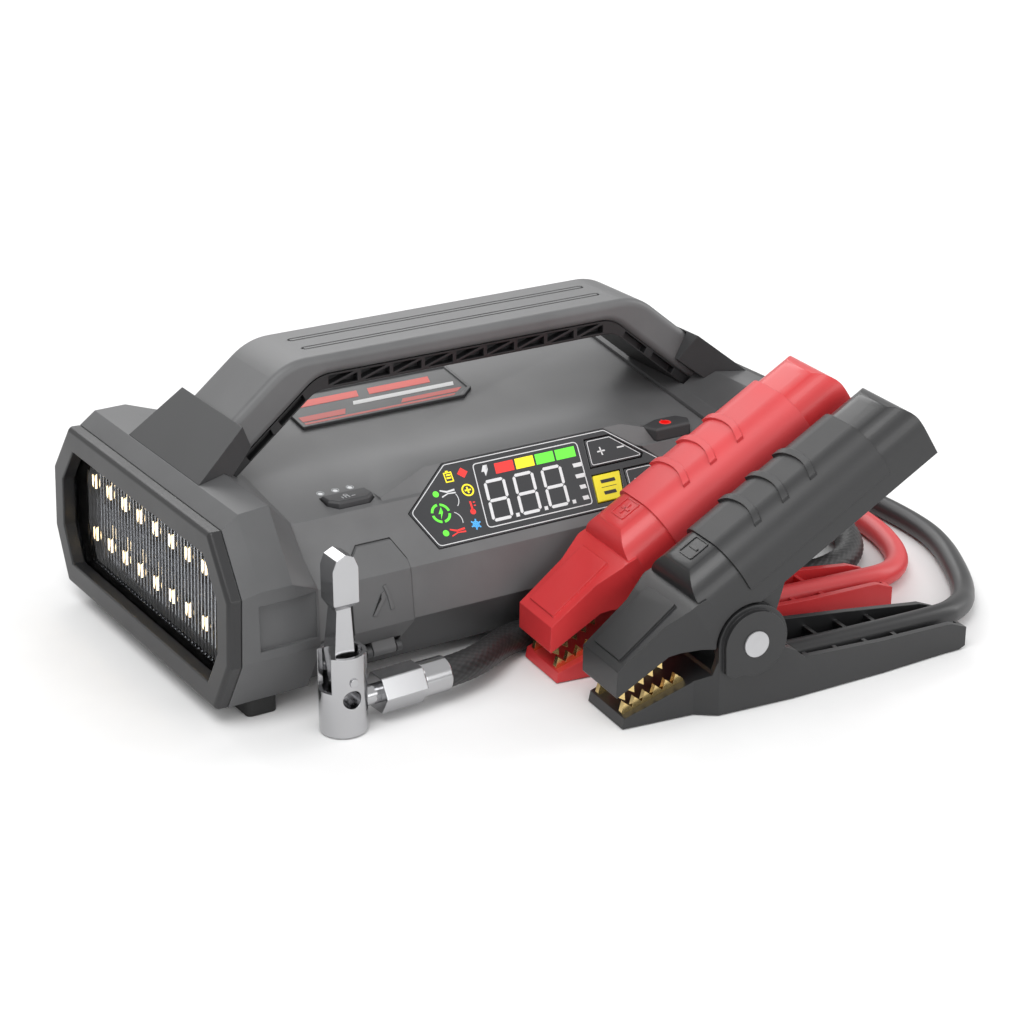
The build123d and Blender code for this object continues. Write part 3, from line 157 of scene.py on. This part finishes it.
GREY = (0.122, 0.123, 0.125)
M = {
    "case": grainy("case_grey", GREY, rough=0.46),
    "case_low": grainy("case_low_grey", (0.06, 0.061, 0.063), rough=0.5),
    "housing": grainy("housing_grey", (0.082, 0.083, 0.085), rough=0.48),
    "shroud": grainy("shroud_grey", (0.042, 0.0425, 0.044), rough=0.5),
    "handle": grainy("handle_grey", (0.112, 0.113, 0.115), rough=0.45),
    # painted shade: a near-black copy of the handle grey for the handle's underside, standing for the shadow
    # under it
    "painted_underside_shade": grainy("painted_underside_shade_dark", (0.012, 0.012, 0.013), rough=0.45),
    "bezel": grainy("bezel_dark", (0.016, 0.016, 0.017), rough=0.42),
    "vent": grainy("vent_dark", (0.02, 0.02, 0.021), rough=0.5),
    "door": grainy("door_rubber", (0.105, 0.106, 0.108), rough=0.55),
    "button": grainy("button_dark", (0.04, 0.04, 0.042), rough=0.5),
    "label": grainy("label_grey", (0.045, 0.046, 0.048), rough=0.4),
    "feet": grainy("foot_rubber", (0.012, 0.012, 0.012), rough=0.75, grain=900, depth=0.06),
    "panel": grainy("panel_gloss", (0.03, 0.031, 0.034), rough=0.26, depth=0.004, spread=0.03, coat=0.3),
    "pump_key": grainy("key_dark", (0.03, 0.031, 0.034), rough=0.3, depth=0.01, spread=0.03),
    "yellow_key": grainy("key_yellow", (0.86, 0.74, 0.02), rough=0.4, depth=0.01, vary=0.03),
    "red": grainy("clamp_red", (0.60, 0.034, 0.038), rough=0.38, depth=0.015, vary=0.05, coat=0.1),
    "red_grip": grainy("grip_red", (0.63, 0.052, 0.058), rough=0.46, depth=0.02, vary=0.05),
    "black": grainy("clamp_black", (0.017, 0.0172, 0.018), rough=0.38, depth=0.015, coat=0.1),
    "black_grip": grainy("grip_black", (0.021, 0.0212, 0.022), rough=0.46, depth=0.02),
    "brass": grainy("brass", (0.83, 0.62, 0.27), rough=0.24, metallic=1.0, grain=2500, depth=0.006,
                    edge=0.0001),
    "rivet": grainy("rivet_steel", (0.50, 0.50, 0.51), rough=0.42, metallic=0.55, depth=0.01, edge=0.0003),
    "steel": grainy("steel", (0.48, 0.48, 0.49), rough=0.35, metallic=1.0, depth=0.01, edge=0.0002),
    "chrome": grainy("chrome", (0.47, 0.47, 0.48), rough=0.17, metallic=1.0, grain=3000, depth=0.003,
                     edge=0.0003, spread=0.04, vary=0.03),
    "red_cord": grainy("cable_red", (0.62, 0.045, 0.05), rough=0.42, depth=0.02, vary=0.05, edge=0.0),
    "black_cord": grainy("cable_black", (0.02, 0.02, 0.021), rough=0.40, depth=0.02, edge=0.0),
    "elbow": grainy("elbow_black", (0.014, 0.014, 0.015), rough=0.45),
    "reflector": grainy("reflector", (0.010, 0.009, 0.008), rough=0.22, metallic=0.3, depth=0.004,
                        spread=0.04),
    "board": grainy("board_white", (0.5, 0.5, 0.48), rough=0.5),
    "green_board": grainy("board_green", (0.02, 0.12, 0.05), rough=0.45),
    "cell": grainy("cell_wrap", (0.05, 0.12, 0.32), rough=0.4),
    "plug": grainy("plug_blue", (0.012, 0.05, 0.33), rough=0.35),
    "aluminium": grainy("aluminium", (0.62, 0.62, 0.63), rough=0.4, metallic=1.0),
    "gear": grainy("gear_nylon", (0.72, 0.70, 0.64), rough=0.5),
    "white": printed("ink_white", (0.66, 0.67, 0.68), glow=0.05),
    "dim": printed("ink_grey", (0.42, 0.43, 0.44)),
    "ink_black": printed("ink_black", (0.02, 0.02, 0.02)),
    "ink_red": printed("ink_red", (0.85, 0.035, 0.03), glow=0.25),
    "label_red": printed("label_red", (0.66, 0.055, 0.035)),
    "label_white": printed("label_white", (0.72, 0.72, 0.72)),
    "ink_yellow": printed("ink_yellow", (0.95, 0.78, 0.02), glow=0.3),
    "ink_green": printed("ink_green", (0.13, 0.82, 0.05), glow=0.3),
    "ink_blue": printed("ink_blue", (0.08, 0.40, 0.85), glow=0.3),
}

# Clear lens, and a warm glow on the lamp's emitters: painted glints that stand for warm reflections in the
# cups
M["lens"], _, _, glass = shader("lens_clear")
glass.inputs["Base Color"].default_value = (0.72, 0.73, 0.75, 1)
glass.inputs["Roughness"].default_value = 0.03
glass.inputs["Transmission Weight"].default_value = 1.0
glass.inputs["IOR"].default_value = 1.09
M["led"] = printed("led_painted_glint", (1.0, 0.74, 0.40), glow=5.0)

# The hose's braid: black, made near-black in the low grooves between its raised strands as painted shade
M["braid"], b_nodes, b_links, braid_bsdf = shader("braid_black")
groove_shade_node = b_nodes.new("ShaderNodeVertexColor")
groove_shade_node.layer_name = "groove_shade"
fuzz = b_nodes.new("ShaderNodeTexNoise")
fuzz.inputs["Scale"].default_value = 2600.0
b_coords = b_nodes.new("ShaderNodeTexCoord")
b_links.new(b_coords.outputs["Object"], fuzz.inputs["Vector"])
b_mix = b_nodes.new("ShaderNodeMix")
b_mix.data_type = "RGBA"
b_mix.inputs["A"].default_value = (0.002, 0.002, 0.002, 1)
b_mix.inputs["B"].default_value = (0.019, 0.019, 0.020, 1)
b_links.new(groove_shade_node.outputs["Color"], b_mix.inputs["Factor"])
b_links.new(b_mix.outputs["Result"], braid_bsdf.inputs["Base Color"])
b_bump = b_nodes.new("ShaderNodeBump")
b_bump.inputs["Strength"].default_value = 0.5
b_bump.inputs["Distance"].default_value = 0.00006
b_links.new(fuzz.outputs["Fac"], b_bump.inputs["Height"])
b_links.new(b_bump.outputs["Normal"], braid_bsdf.inputs["Normal"])
braid_bsdf.inputs["Roughness"].default_value = 0.5
braid_bsdf.inputs["Sheen Weight"].default_value = 0.03

floor_mat = grainy("floor_pale", (0.86, 0.86, 0.86), rough=0.8, edge=0.0, vary=0.01, depth=0.001)

bpy.ops.mesh.primitive_plane_add(size=12.0, location=(0, 0, 0))
floor = bpy.context.object
floor.name = "floor"
floor.data.materials.append(floor_mat)


# ======== Helpers ========
BODY_OF = {node: body for body, nodes in frame["record"]["behaviour"]["bodies"].items() for node in nodes}


def add_mesh(name, bm, material, body, smooth=False):
    bmesh.ops.recalc_face_normals(bm, faces=bm.faces[:])
    mesh = bpy.data.meshes.new(name)
    bm.to_mesh(mesh)
    bm.free()
    mesh.materials.append(M[material])
    for face in mesh.polygons:
        face.use_smooth = smooth
    piece = bpy.data.objects.new(name, mesh)
    scene.collection.objects.link(piece)
    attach(piece, body)
    return piece


def dress(node, material):
    """Give a CAD node its finish and keep its shape."""
    slots = bpy.data.objects[node].material_slots
    for s in slots:
        s.material = M[material]


def eased(node, material, width, segments=2, angle=28):
    """A copy of a CAD node with its edges rounded over, in the node's place."""
    bm = bmesh.new()
    bm.from_mesh(bpy.data.objects[node].data)
    bmesh.ops.remove_doubles(bm, verts=bm.verts[:], dist=2e-6)
    bmesh.ops.dissolve_limit(bm, angle_limit=math.radians(0.4), verts=bm.verts[:], edges=bm.edges[:])
    for face in bm.faces:
        face.smooth = True
    for edge in bm.edges:
        edge.smooth = not (edge.is_manifold and edge.calc_face_angle(0) > math.radians(angle))
    mesh = bpy.data.meshes.new(node + "_form")
    bm.to_mesh(mesh)
    bm.free()
    mesh.materials.append(M[material])
    piece = bpy.data.objects.new(node + "_form", mesh)
    scene.collection.objects.link(piece)
    bevel = piece.modifiers.new("ease", "BEVEL")
    bevel.width = width
    bevel.segments = segments
    bevel.limit_method = "ANGLE"
    bevel.angle_limit = math.radians(angle)
    bevel.use_clamp_overlap = True
    bevel.harden_normals = True
    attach(piece, BODY_OF[node])
    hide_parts(node)
    return piece


def moved_out(points, amount):
    """Closed outline offset outward (counter-clockwise outlines) by amount, with mitred corners."""
    n = len(points)
    area = sum(points[i][0] * points[(i + 1) % n][1] - points[(i + 1) % n][0] * points[i][1]
               for i in range(n))
    sign = 1.0 if area > 0 else -1.0
    out = []
    for i in range(n):
        a, b, c = (Vector(points[j % n]) for j in (i - 1, i, i + 1))
        d1, d2 = (b - a).normalized(), (c - b).normalized()
        n1, n2 = sign * Vector((d1.y, -d1.x)), sign * Vector((d2.y, -d2.x))
        m = (n1 + n2).normalized()
        out.append(tuple(b + m * (amount / max(0.3, m.dot(n1)))))
    return out


def rounded(points, radius, steps=5):
    """Closed outline with every corner rounded."""
    n, out = len(points), []
    for i in range(n):
        a, b, c = (Vector(points[j % n]) for j in (i - 1, i, i + 1))
        d1, d2 = (a - b).normalized(), (c - b).normalized()
        half = d1.angle(d2) / 2
        reach = min(radius / math.tan(half), 0.45 * (a - b).length, 0.45 * (c - b).length)
        p, q = b + d1 * reach, b + d2 * reach
        for k in range(steps + 1):
            t = k / steps
            out.append(tuple(p * (1 - t) ** 2 + b * 2 * t * (1 - t) + q * t ** 2))
    return out


def circle(x, y, r, n=28):
    return [(x + r * math.cos(2 * math.pi * k / n), y + r * math.sin(2 * math.pi * k / n)) for k in range(n)]


def bar(x0, y0, x1, y1, width):
    """Straight stroke between two points."""
    d = Vector((x1 - x0, y1 - y0)).normalized() * width / 2
    return [(x0 + d.y, y0 - d.x), (x1 + d.y, y1 - d.x), (x1 - d.y, y1 + d.x), (x0 - d.y, y0 + d.x)]


def arc_bars(x, y, r, a0, a1, width, n=16):
    """Stroke along part of a circle, as one outline."""
    angles = [math.radians(a0 + (a1 - a0) * k / n) for k in range(n + 1)]
    outer = [(x + (r + width / 2) * math.cos(a), y + (r + width / 2) * math.sin(a)) for a in angles]
    inner = [(x + (r - width / 2) * math.cos(a), y + (r - width / 2) * math.sin(a)) for a in angles]
    return outer + inner[::-1]


def slab(name, outlines, rings, place, low, high, material, body):
    """Raised flat marks: filled outlines and rings of (outline, width). Sizes in mm, place gives metres."""
    bm = bmesh.new()
    for points in outlines:
        below = [bm.verts.new(place(a, b, low)) for a, b in points]
        above = [bm.verts.new(place(a, b, high)) for a, b in points]
        faces = [bm.faces.new(below), bm.faces.new(above)]
        n = len(points)
        for i in range(n):
            bm.faces.new((below[i], below[(i + 1) % n], above[(i + 1) % n], above[i]))
        bmesh.ops.triangulate(bm, faces=faces)
    for points, width in rings:
        loops = [[bm.verts.new(place(a, b, d)) for a, b in moved_out(points, side * width / 2)]
                 for side, d in ((1, low), (1, high), (-1, high), (-1, low))]
        n = len(points)
        for k in range(4):
            one, two = loops[k], loops[(k + 1) % 4]
            for i in range(n):
                bm.faces.new((one[i], one[(i + 1) % n], two[(i + 1) % n], two[i]))
    return add_mesh(name, bm, material, body)


# Surfaces that marks lie on
S_DIR = Vector((0, 14.0, 14.2)).normalized()
S_OUT = Vector((0, -S_DIR.z, S_DIR.y))
T_PITCH = 13.0 / 83.5
T_OUT = Vector((0, -T_PITCH, 1)).normalized()
F_UP = Vector((0, 2.0, 17.8)).normalized()
F_OUT = Vector((0, -F_UP.z, F_UP.y))
END_FOOT = (-125.0, 6.0)
END_LEAN = math.radians(2.3)
E_UP = Vector((math.sin(END_LEAN), 0, math.cos(END_LEAN)))
E_OUT = Vector((-E_UP.z, 0, E_UP.x))


def on_slope(x, s, d):
    return (Vector((x, -60.0, 39.0)) + S_DIR * s + S_OUT * d) * MM


def on_top(x, y, d):
    return (Vector((x, y, 56.8 + T_PITCH * (y + 44.0))) + T_OUT * d) * MM


def on_front(x, z, d):
    return (Vector((x, -62.0, 21.2)) + F_UP * ((z - 21.2) / F_UP.z) + F_OUT * d) * MM


def on_end(y, h, d):
    return (Vector((END_FOOT[0], y, END_FOOT[1])) + E_UP * h + E_OUT * d) * MM


def level(height):
    return lambda x, y, d: Vector((x, y, height + d)) * MM


# ======== Cords ========
def spline(name, points):
    curve = bpy.data.curves.new(name, "CURVE")
    curve.dimensions = "3D"
    line = curve.splines.new("NURBS")
    line.points.add(len(points) - 1)
    for p, co in zip(line.points, points):
        p.co = (*[c * MM for c in co], 1.0)
    line.order_u = 3
    line.use_endpoint_u = True
    line.resolution_u = 24
    return curve


def cable(name, points, radius, material, node, **facts):
    curve = spline(name, points)
    curve.bevel_depth = radius * MM
    curve.bevel_resolution = 8
    curve.use_fill_caps = True
    curve.materials.append(M[material])
    piece = bpy.data.objects.new(name, curve)
    scene.collection.objects.link(piece)
    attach(piece, "pack")
    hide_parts(node)
    return piece


CLAMP_TURN = math.radians(-5.3)
CLAMP_ORIGINS = {"black": (-12.5, -121.6), "red": (-12.2, -81.6)}


def in_clamp(colour, u, v, z):
    x, y = CLAMP_ORIGINS[colour]
    c, s = math.cos(CLAMP_TURN), math.sin(CLAMP_TURN)
    return (x + u * c - v * s, y + u * s + v * c, z)


BLACK_ROUTE = [
    in_clamp("black", 66, 0, 8.2), in_clamp("black", 131, 0, 8.2),
    (135.5, -126.5, 6.4), (146.5, -116.5, 4.4), (156.5, -103.0, 4.4), (172.6, -73.0, 4.4),
    (176.6, -47.0, 4.4), (176.0, -20.0, 4.4), (172.5, 10.0, 4.4), (163.0, 38.0, 4.4),
    (143.0, 68.0, 4.4), (120.0, 90.0, 5.0), (100.0, 97.2, 7.0), (83.0, 97.2, 7.0),
]
RED_ROUTE = [
    in_clamp("red", 66, 0, 8.2), in_clamp("red", 130, 0, 8.2),
    (134.0, -90.5, 6.2), (148.0, -78.8, 4.4), (157.2, -60.0, 4.4), (161.5, -38.0, 4.4),
    (161.5, -10.0, 4.4), (157.0, 18.0, 4.4), (147.0, 44.0, 4.4), (128.0, 66.0, 4.4),
    (107.0, 82.6, 5.2), (96.0, 86.8, 7.0), (83.0, 86.8, 7.0),
]
cable("black_cable_skin", BLACK_ROUTE, 4.3, "black_cord", "black_cable",
      exit=[c * MM for c in BLACK_ROUTE[0]], length=0.367, far_end="plug", stiffness="limp",
      with_pieces=["jump_plug"])
cable("red_cable_skin", RED_ROUTE, 4.3, "red_cord", "red_cable",
      exit=[c * MM for c in RED_ROUTE[0]], length=0.306, far_end="plug", stiffness="limp",
      with_pieces=["jump_plug"])

FIT = Vector((math.cos(math.radians(3)), math.sin(math.radians(3)), 0))
HOSE_ROUTE = [
    tuple(Vector((-90, -85, 9.7)) + FIT * 39), tuple(Vector((-90, -85, 9.7)) + FIT * 51),
    (-15.9, -63.8, 5.6), (8.0, -62.0, 5.4), (44.0, -62.8, 5.4), (70.0, -64.6, 5.4), (94.0, -71.4, 5.4),
    (110.5, -75.4, 5.4), (126.5, -72.0, 5.4), (139.3, -61.8, 5.4), (146.2, -47.0, 6.2),
    (145.8, -27.0, 10.6), (143.2, -8.0, 19.0), (140.0, 9.0, 24.0), (140.0, 26.0, 24.0),
][::-1]

guide = bpy.data.objects.new("hose_guide", spline("hose_guide", HOSE_ROUTE))
scene.collection.objects.link(guide)
line_mesh = bpy.data.meshes.new_from_object(guide)
hose_path = [v.co.copy() for v in line_mesh.vertices]
bpy.data.objects.remove(guide)
bpy.data.meshes.remove(line_mesh)


def braided_tube(name, path, radius, across, pitch, lift, around=84):
    """Tube with a diamond braid raised on it; each corner's height is stored on it, to paint shade into the
    low grooves.
    """
    bm = bmesh.new()
    groove_shade_layer = bm.loops.layers.float_color.new("groove_shade")
    heights = {}
    rows, side, run = [], None, 0.0
    for i, here in enumerate(path):
        ahead = (path[min(i + 1, len(path) - 1)] - path[max(i - 1, 0)]).normalized()
        if side is None:
            side = ahead.cross(Vector((0, 0, 1))).normalized()
        side = (side - ahead * side.dot(ahead)).normalized()
        up = ahead.cross(side)
        if i:
            run += (here - path[i - 1]).length
        row = []
        for k in range(around):
            turn = k / around
            one = math.sin(math.pi * (across * turn + run / pitch))
            two = math.sin(math.pi * (across * turn - run / pitch))
            h = math.sqrt(abs(one * two))
            spot = here + (side * math.cos(2 * math.pi * turn) + up * math.sin(2 * math.pi * turn)) * (
                radius - lift * (1 - h))
            vert = bm.verts.new(spot)
            heights[vert] = h
            row.append(vert)
        rows.append(row)
    for one, two in zip(rows, rows[1:]):
        for k in range(around):
            bm.faces.new((one[k], one[(k + 1) % around], two[(k + 1) % around], two[k]))
    bm.faces.new(rows[0])
    bm.faces.new(rows[-1])
    # painted shade: the lower a corner sits, the darker it is coloured
    for face in bm.faces:
        for loop in face.loops:
            h = heights[loop.vert]
            loop[groove_shade_layer] = (h, h, h, 1)
    return add_mesh(name, bm, "braid", "pack", smooth=True)


dense = []
for a, b in zip(hose_path, hose_path[1:]):
    steps = max(1, round((b - a).length / 0.0006))
    dense += [a.lerp(b, k / steps) for k in range(steps)]
dense.append(hose_path[-1])
hose = braided_tube("air_hose_braid", dense, 5.3 * MM, 16, 3.4 * MM, 0.28 * MM)
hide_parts("air_hose")

# ======== CAD nodes ========
for node, material, width in (
        ("upper_case", "case", 0.0005), ("lower_case", "case_low", 0.0004),
        ("lamp_housing", "housing", 0.0008), ("pump_housing", "housing", 0.0008),
        ("lamp_bezel", "bezel", 0.0006), ("vent_bezel", "bezel", 0.0006),
        ("lamp_end_shroud", "shroud", 0.0006), ("pump_end_shroud", "shroud", 0.0006),
        ("port_door", "door", 0.0004), ("display_panel", "panel", 0.0002),
        ("unit_key", "yellow_key", 0.0004), ("pump_key", "pump_key", 0.0004),
        ("plus_minus_key", "pump_key", 0.0004),
        ("power_button", "button", 0.0003), ("light_button", "button", 0.0003),
        ("label_plate", "label", 0.0003), ("rubber_feet", "feet", 0.0004),
        ("black_clamp_lower", "black", 0.0005), ("red_clamp_lower", "red", 0.0005),
        ("black_clamp_upper", "black", 0.0005), ("red_clamp_upper", "red", 0.0005),
        ("chuck_barrel", "chrome", 0.0002), ("hose_nut", "chrome", 0.0003),
        ("hose_ferrule", "chrome", 0.0005),
        ("chuck_lever", "chrome", 0.0003), ("jump_plug", "plug", 0.0003)):
    eased(node, material, width)

for node, material in {
        # handle_underside: near-black painted shade, standing for the shadow under the handle
        "handle_shell": "handle", "handle_underside": "painted_underside_shade", "vent_panel": "vent", "lamp_lens": "lens",
        # lamp_leds: warm glow, painted glints standing for reflections in the cups
        "lamp_reflector": "reflector", "lamp_board": "board", "lamp_leds": "led", "door_pin": "steel",
        "jump_socket": "plug", "case_screws": "steel", "battery_cells": "cell", "battery_tray": "vent",
        "main_board": "green_board", "display_board": "green_board", "pump_motor": "steel",
        "pump_frame": "aluminium",
        "pump_pinion": "brass", "crank_gear": "gear", "pump_piston": "aluminium", "hose_elbow": "elbow",
        "chuck_seal": "feet", "lever_pin": "chrome", "black_clamp_grip": "black_grip",
        "red_clamp_grip": "red_grip", "black_upper_teeth": "brass", "red_upper_teeth": "brass",
        "lower_teeth": "brass", "clamp_rivets": "rivet",
        "clamp_springs": "steel"}.items():
    dress(node, material)

# ======== Lamp ========
# Flat glowing discs in the mouths of the cups, in front of the emitters deeper down: painted glints that
# stand for the warm reflections off the cups
LED_ROWS = (20.5, 40.5)
LED_PITCH, LEDS_EACH_SIDE = 13.0, 4
PAINTED_GLINT_RADIUS, PAINTED_GLINT_BACK, PAINTED_GLINT_FRONT = 2.6, -9.1, -8.9
slab("lamp_painted_glints", [circle(LED_PITCH * k, row, PAINTED_GLINT_RADIUS) for row in LED_ROWS
                   for k in range(-LEDS_EACH_SIDE, LEDS_EACH_SIDE + 1)], [],
     on_end, PAINTED_GLINT_BACK, PAINTED_GLINT_FRONT, "led", "pack")

# ======== Display ========
def display_marks(name, material, outlines=(), rings=(), body="pack",
                  low=0.30, high=0.37):
    slab(name, outlines, rings, on_slope, low, high, material, body)


DISPLAY_OUTLINE = [(-43.3, 18.8), (-37.4, 4.1), (53.6, 4.1), (60.4, 18.1), (42.6, 34.0), (-24.0, 34.0)]
LCD = [(-16.9, 7.3), (26.0, 7.3), (29.8, 31.2), (-13.0, 31.2)]
display_marks("panel_lines", "white", rings=[
    (rounded(moved_out(DISPLAY_OUTLINE, -0.75), 2.0), 0.3), (rounded(LCD, 1.6), 0.36)])


def digit(x, s, width=7.4, height=14.4, stroke=1.15):
    """Seven segments of a leaning digit, all lit, and its point."""
    lean = 2.5 / 15.0

    def at(a, b):
        return (x + a + lean * b, s + b)

    def segment(a0, b0, a1, b1):
        d = Vector((a1 - a0, b1 - b0)).normalized()
        n = Vector((-d.y, d.x)) * stroke / 2
        e = d * stroke / 2
        p, q = Vector((a0, b0)) + d * 0.75, Vector((a1, b1)) - d * 0.75
        return [at(*v) for v in (p - e * 0.9, p + n, q + n, q + e * 0.9, q - n, p - n)]

    half = height / 2
    runs = [(0, 0, width, 0), (0, half, width, half), (0, height, width, height),
            (0, 0, 0, half), (0, half, 0, height), (width, 0, width, half), (width, half, width, height)]
    return [segment(*r) for r in runs] + [[at(width + 1.6, -0.6), at(width + 3.0, -0.6), at(width + 3.0, 0.8),
                                           at(width + 1.6, 0.8)]]


display_marks("digits", "white", [o for k in range(3) for o in digit(-13.6 + 11.6 * k, 9.4)])
LEAN = 0.16
CELLS = {"ink_red": [(-5.6, 1.9)], "ink_yellow": [(2.7, 10.2)], "ink_green": [(11.0, 18.5), (19.3, 27.4)]}
for colour, spans in CELLS.items():
    display_marks("cells_" + colour, colour,
                  [[(a, 25.9), (b, 25.9), (b + 4 * LEAN, 29.8), (a + 4 * LEAN, 29.8)] for a, b in spans])
display_marks("bolt_mark", "white", [[(-9.8, 25.9), (-8.0, 28.3), (-9.0, 28.3), (-7.8, 30.0), (-9.4, 30.0),
                                      (-10.9, 27.7), (-9.8, 27.7)]])
display_marks("unit_marks", "white", [bar(21.6 + s * LEAN - 0.6, s, 25.4 + s * LEAN - 0.6, s, 1.5)
                                      for s in (22.6, 18.4)] +
              [bar(22.2 + s * LEAN - 0.6, s, 24.6 + s * LEAN - 0.6, s, 1.5) for s in (14.2, 10.0)])
display_marks("ready_ring", "ink_green",
              [arc_bars(-31.8, 16.3, 3.2, a, a + 72, 0.9) for a in (5, 95, 185, 275)] +
              [[(-32.5, 14.2), (-30.9, 16.6), (-31.7, 16.7), (-31.0, 18.5), (-32.8, 16.2), (-31.9, 16.1)]])
display_marks("ready_dots", "ink_green", [circle(-30.9, 23.4, 1.15), circle(-32.9, 8.9, 1.15)])


def clamp_icon(x, y, tip):
    """Open clamp, its jaws towards tip (+1 right)."""
    return [[(x - 2.6 * tip, y + 0.9), (x + 0.4 * tip, y + 0.6), (x + 3.0 * tip, y + 1.5),
             (x + 3.0 * tip, y + 1.0), (x + 0.6 * tip, y - 0.1), (x - 2.6 * tip, y + 0.2)],
            [(x - 2.6 * tip, y - 0.9), (x + 0.4 * tip, y - 0.6), (x + 3.0 * tip, y - 1.5),
             (x + 3.0 * tip, y - 1.0), (x + 0.6 * tip, y - 0.25), (x - 2.6 * tip, y - 0.3)]]


display_marks("clamp_icon_white", "white", clamp_icon(-26.0, 23.1, -1) + [
    arc_bars(-26.9, 20.4, 3.6, -52, 26, 0.28), arc_bars(-28.6, 12.4, 3.6, -20, 62, 0.28)])
display_marks("clamp_icon_red", "ink_red", clamp_icon(-28.0, 8.6, -1))
display_marks("battery_icon", "ink_yellow",
              [bar(-24.2, 30.6, -23.2, 30.6, 0.7), bar(-24.6, 28.2, -22.8, 28.2, 0.6),
               bar(-24.4, 29.3, -22.6, 29.3, 0.6)],
              [([(-25.2, 26.8), (-22.4, 26.8), (-22.2, 30.2), (-25.0, 30.2)], 0.4)])
display_marks("warning_icon", "ink_red", [[(-18.0, 31.0), (-15.9, 29.0), (-18.0, 27.0), (-20.1, 29.0)]])
display_marks("boost_icon", "ink_yellow",
              [bar(-19.8, 22.4, -17.4, 22.4, 0.6), bar(-18.6, 21.2, -18.6, 23.6, 0.6)],
              [(circle(-18.6, 22.4, 2.05), 0.55)])
display_marks("heat_icon", "ink_red", [circle(-19.9, 14.3, 1.05), bar(-19.8, 14.6, -19.5, 18.2, 0.7),
                                       bar(-18.6, 17.6, -17.8, 17.6, 0.4),
                                       bar(-18.7, 16.4, -17.9, 16.4, 0.4)])
display_marks("cold_icon", "ink_blue",
              [bar(-20.7 + 2 * math.cos(a), 9.6 + 2 * math.sin(a),
                   -20.7 - 2 * math.cos(a), 9.6 - 2 * math.sin(a), 0.5) for a in (0.3, 1.35, 2.4)],
              [(circle(-20.7, 9.6, 1.1, 12), 0.35)])

ROCKER = [(33.2, 31.0), (43.6, 31.0), (53.6, 21.6), (52.6, 20.4), (31.2, 20.4)]
PUMP = [(43.8, 17.2), (56.3, 17.2), (50.8, 7.0), (42.2, 7.0)]
KEY_TOP = 0.4
display_marks("rocker_marks", "white", [bar(36.2, 25.7, 39.4, 25.7, 0.55), bar(37.8, 24.1, 37.8, 27.3, 0.55),
                                        bar(44.6, 25.7, 47.6, 25.7, 0.55)],
              [(rounded(moved_out(ROCKER, -0.7), 0.9), 0.26)], "rocker",
              KEY_TOP, KEY_TOP + 0.06)
display_marks("pump_marks", "white", [bar(46.2, 12.4, 52.4, 12.4, 0.9)],
              [(rounded(moved_out(PUMP, -0.7), 0.9), 0.26)], "pump_switch",
              KEY_TOP, KEY_TOP + 0.06)
display_marks("unit_key_marks", "ink_black",
              [bar(32.6, 14.4, 38.6, 14.4, 1.3), bar(32.0, 12.2, 38.2, 12.2, 0.2),
               bar(32.2, 10.0, 37.2, 10.0, 1.3)],
              (), "unit_switch", KEY_TOP, KEY_TOP + 0.06)

# ======== Marks on the case ========
slab("power_icon", [arc_bars(68.3, -38.2, 1.9, -235, 55, 0.6), bar(68.3, -38.2, 68.3, -35.6, 0.6)], [],
     level(61.4), 0.0, 0.07, "ink_red", "power_switch")
slab("light_icon", [bar(-62.4 + a, -37.2, -62.4 + a, -38.8, 0.35) for a in (-1.2, 0.0, 1.2)] +
     [bar(-60.2, -38.0, -58.8, -38.0, 0.35)], [(circle(-61.8, -36.4, 0.7, 14), 0.25)],
     level(59.6), 0.0, 0.07, "dim", "light_switch")
slab("lamp_dot_rings", [], [(circle(x, -29.6, 1.25, 20), 0.25) for x in (-67.7, -62.0, -56.4)],
     on_top, 0.0, 0.07, "dim", "pack")
slab("lamp_dots", [circle(x, -29.6, 0.9, 18) for x in (-67.7, -62.0, -56.4)], [],
     on_top, -1.4, -0.1, "white", "pack")

LABEL = 0.6
slab("label_red_bars", [
    [(-50.0, 14.9), (11.0, 14.9), (12.4, 16.1), (-50.0, 16.1)],
    [(-50.0, 17.0), (-33.0, 17.0), (-31.0, 20.6), (-50.0, 20.6)], [(-10.0, 17.0), (13.6, 17.0), (17.0, 19.6),
                                                                   (-8.0, 19.6)],
    [(-50.0, 27.2), (-22.0, 27.2), (-20.6, 31.6), (-50.0, 31.6)], [(-17.6, 27.2), (8.0, 27.2), (9.4, 31.6),
                                                                   (-16.2, 31.6)]], [],
     on_top, LABEL, LABEL + 0.07, "label_red", "pack")
slab("label_white_bars", [[(-27.0, 22.0), (15.0, 22.0), (16.2, 24.6), (-25.8, 24.6)]], [],
     on_top, LABEL, LABEL + 0.07, "label_white", "pack")

# Clamp pictogram on the port door
DOOR_FACE = 0.6
slab("door_pictogram", [
    [(-66.2, 25.6), (-64.6, 25.4), (-60.6, 31.2), (-61.2, 33.4), (-62.4, 32.8), (-62.6, 30.8)],
    [(-59.2, 26.4), (-57.8, 26.8), (-59.2, 32.4), (-60.4, 35.6), (-61.6, 35.2), (-60.2, 31.6)]], [],
     on_front, DOOR_FACE, DOOR_FACE + 0.35, "door", "door")

# Polarity marks in the clamps' front bands
RISE = math.radians(31.5)


def on_arm(colour, height):
    """Flat of an upper arm's crown at that height: along it and across it."""
    def place(s, v, d):
        t = height + d
        u = s * math.cos(RISE) - t * math.sin(RISE)
        z = s * math.sin(RISE) + t * math.cos(RISE)
        return Vector(in_clamp(colour, u, v, z)) * MM
    return place


for colour in ("red", "black"):
    marks = [bar(55.4, -2.4, 55.4, 2.4, 1.0)]
    if colour == "red":
        marks.append(bar(53.0, 0, 57.8, 0, 1.0))
    slab(colour + "_polarity", marks,
         [(rounded([(51.6, -3.8), (59.2, -3.8), (59.2, 3.8), (51.6, 3.8)], 0.8), 0.5)],
         on_arm(colour, 29.3), 0.0, 0.3, colour, colour + "_jaw")
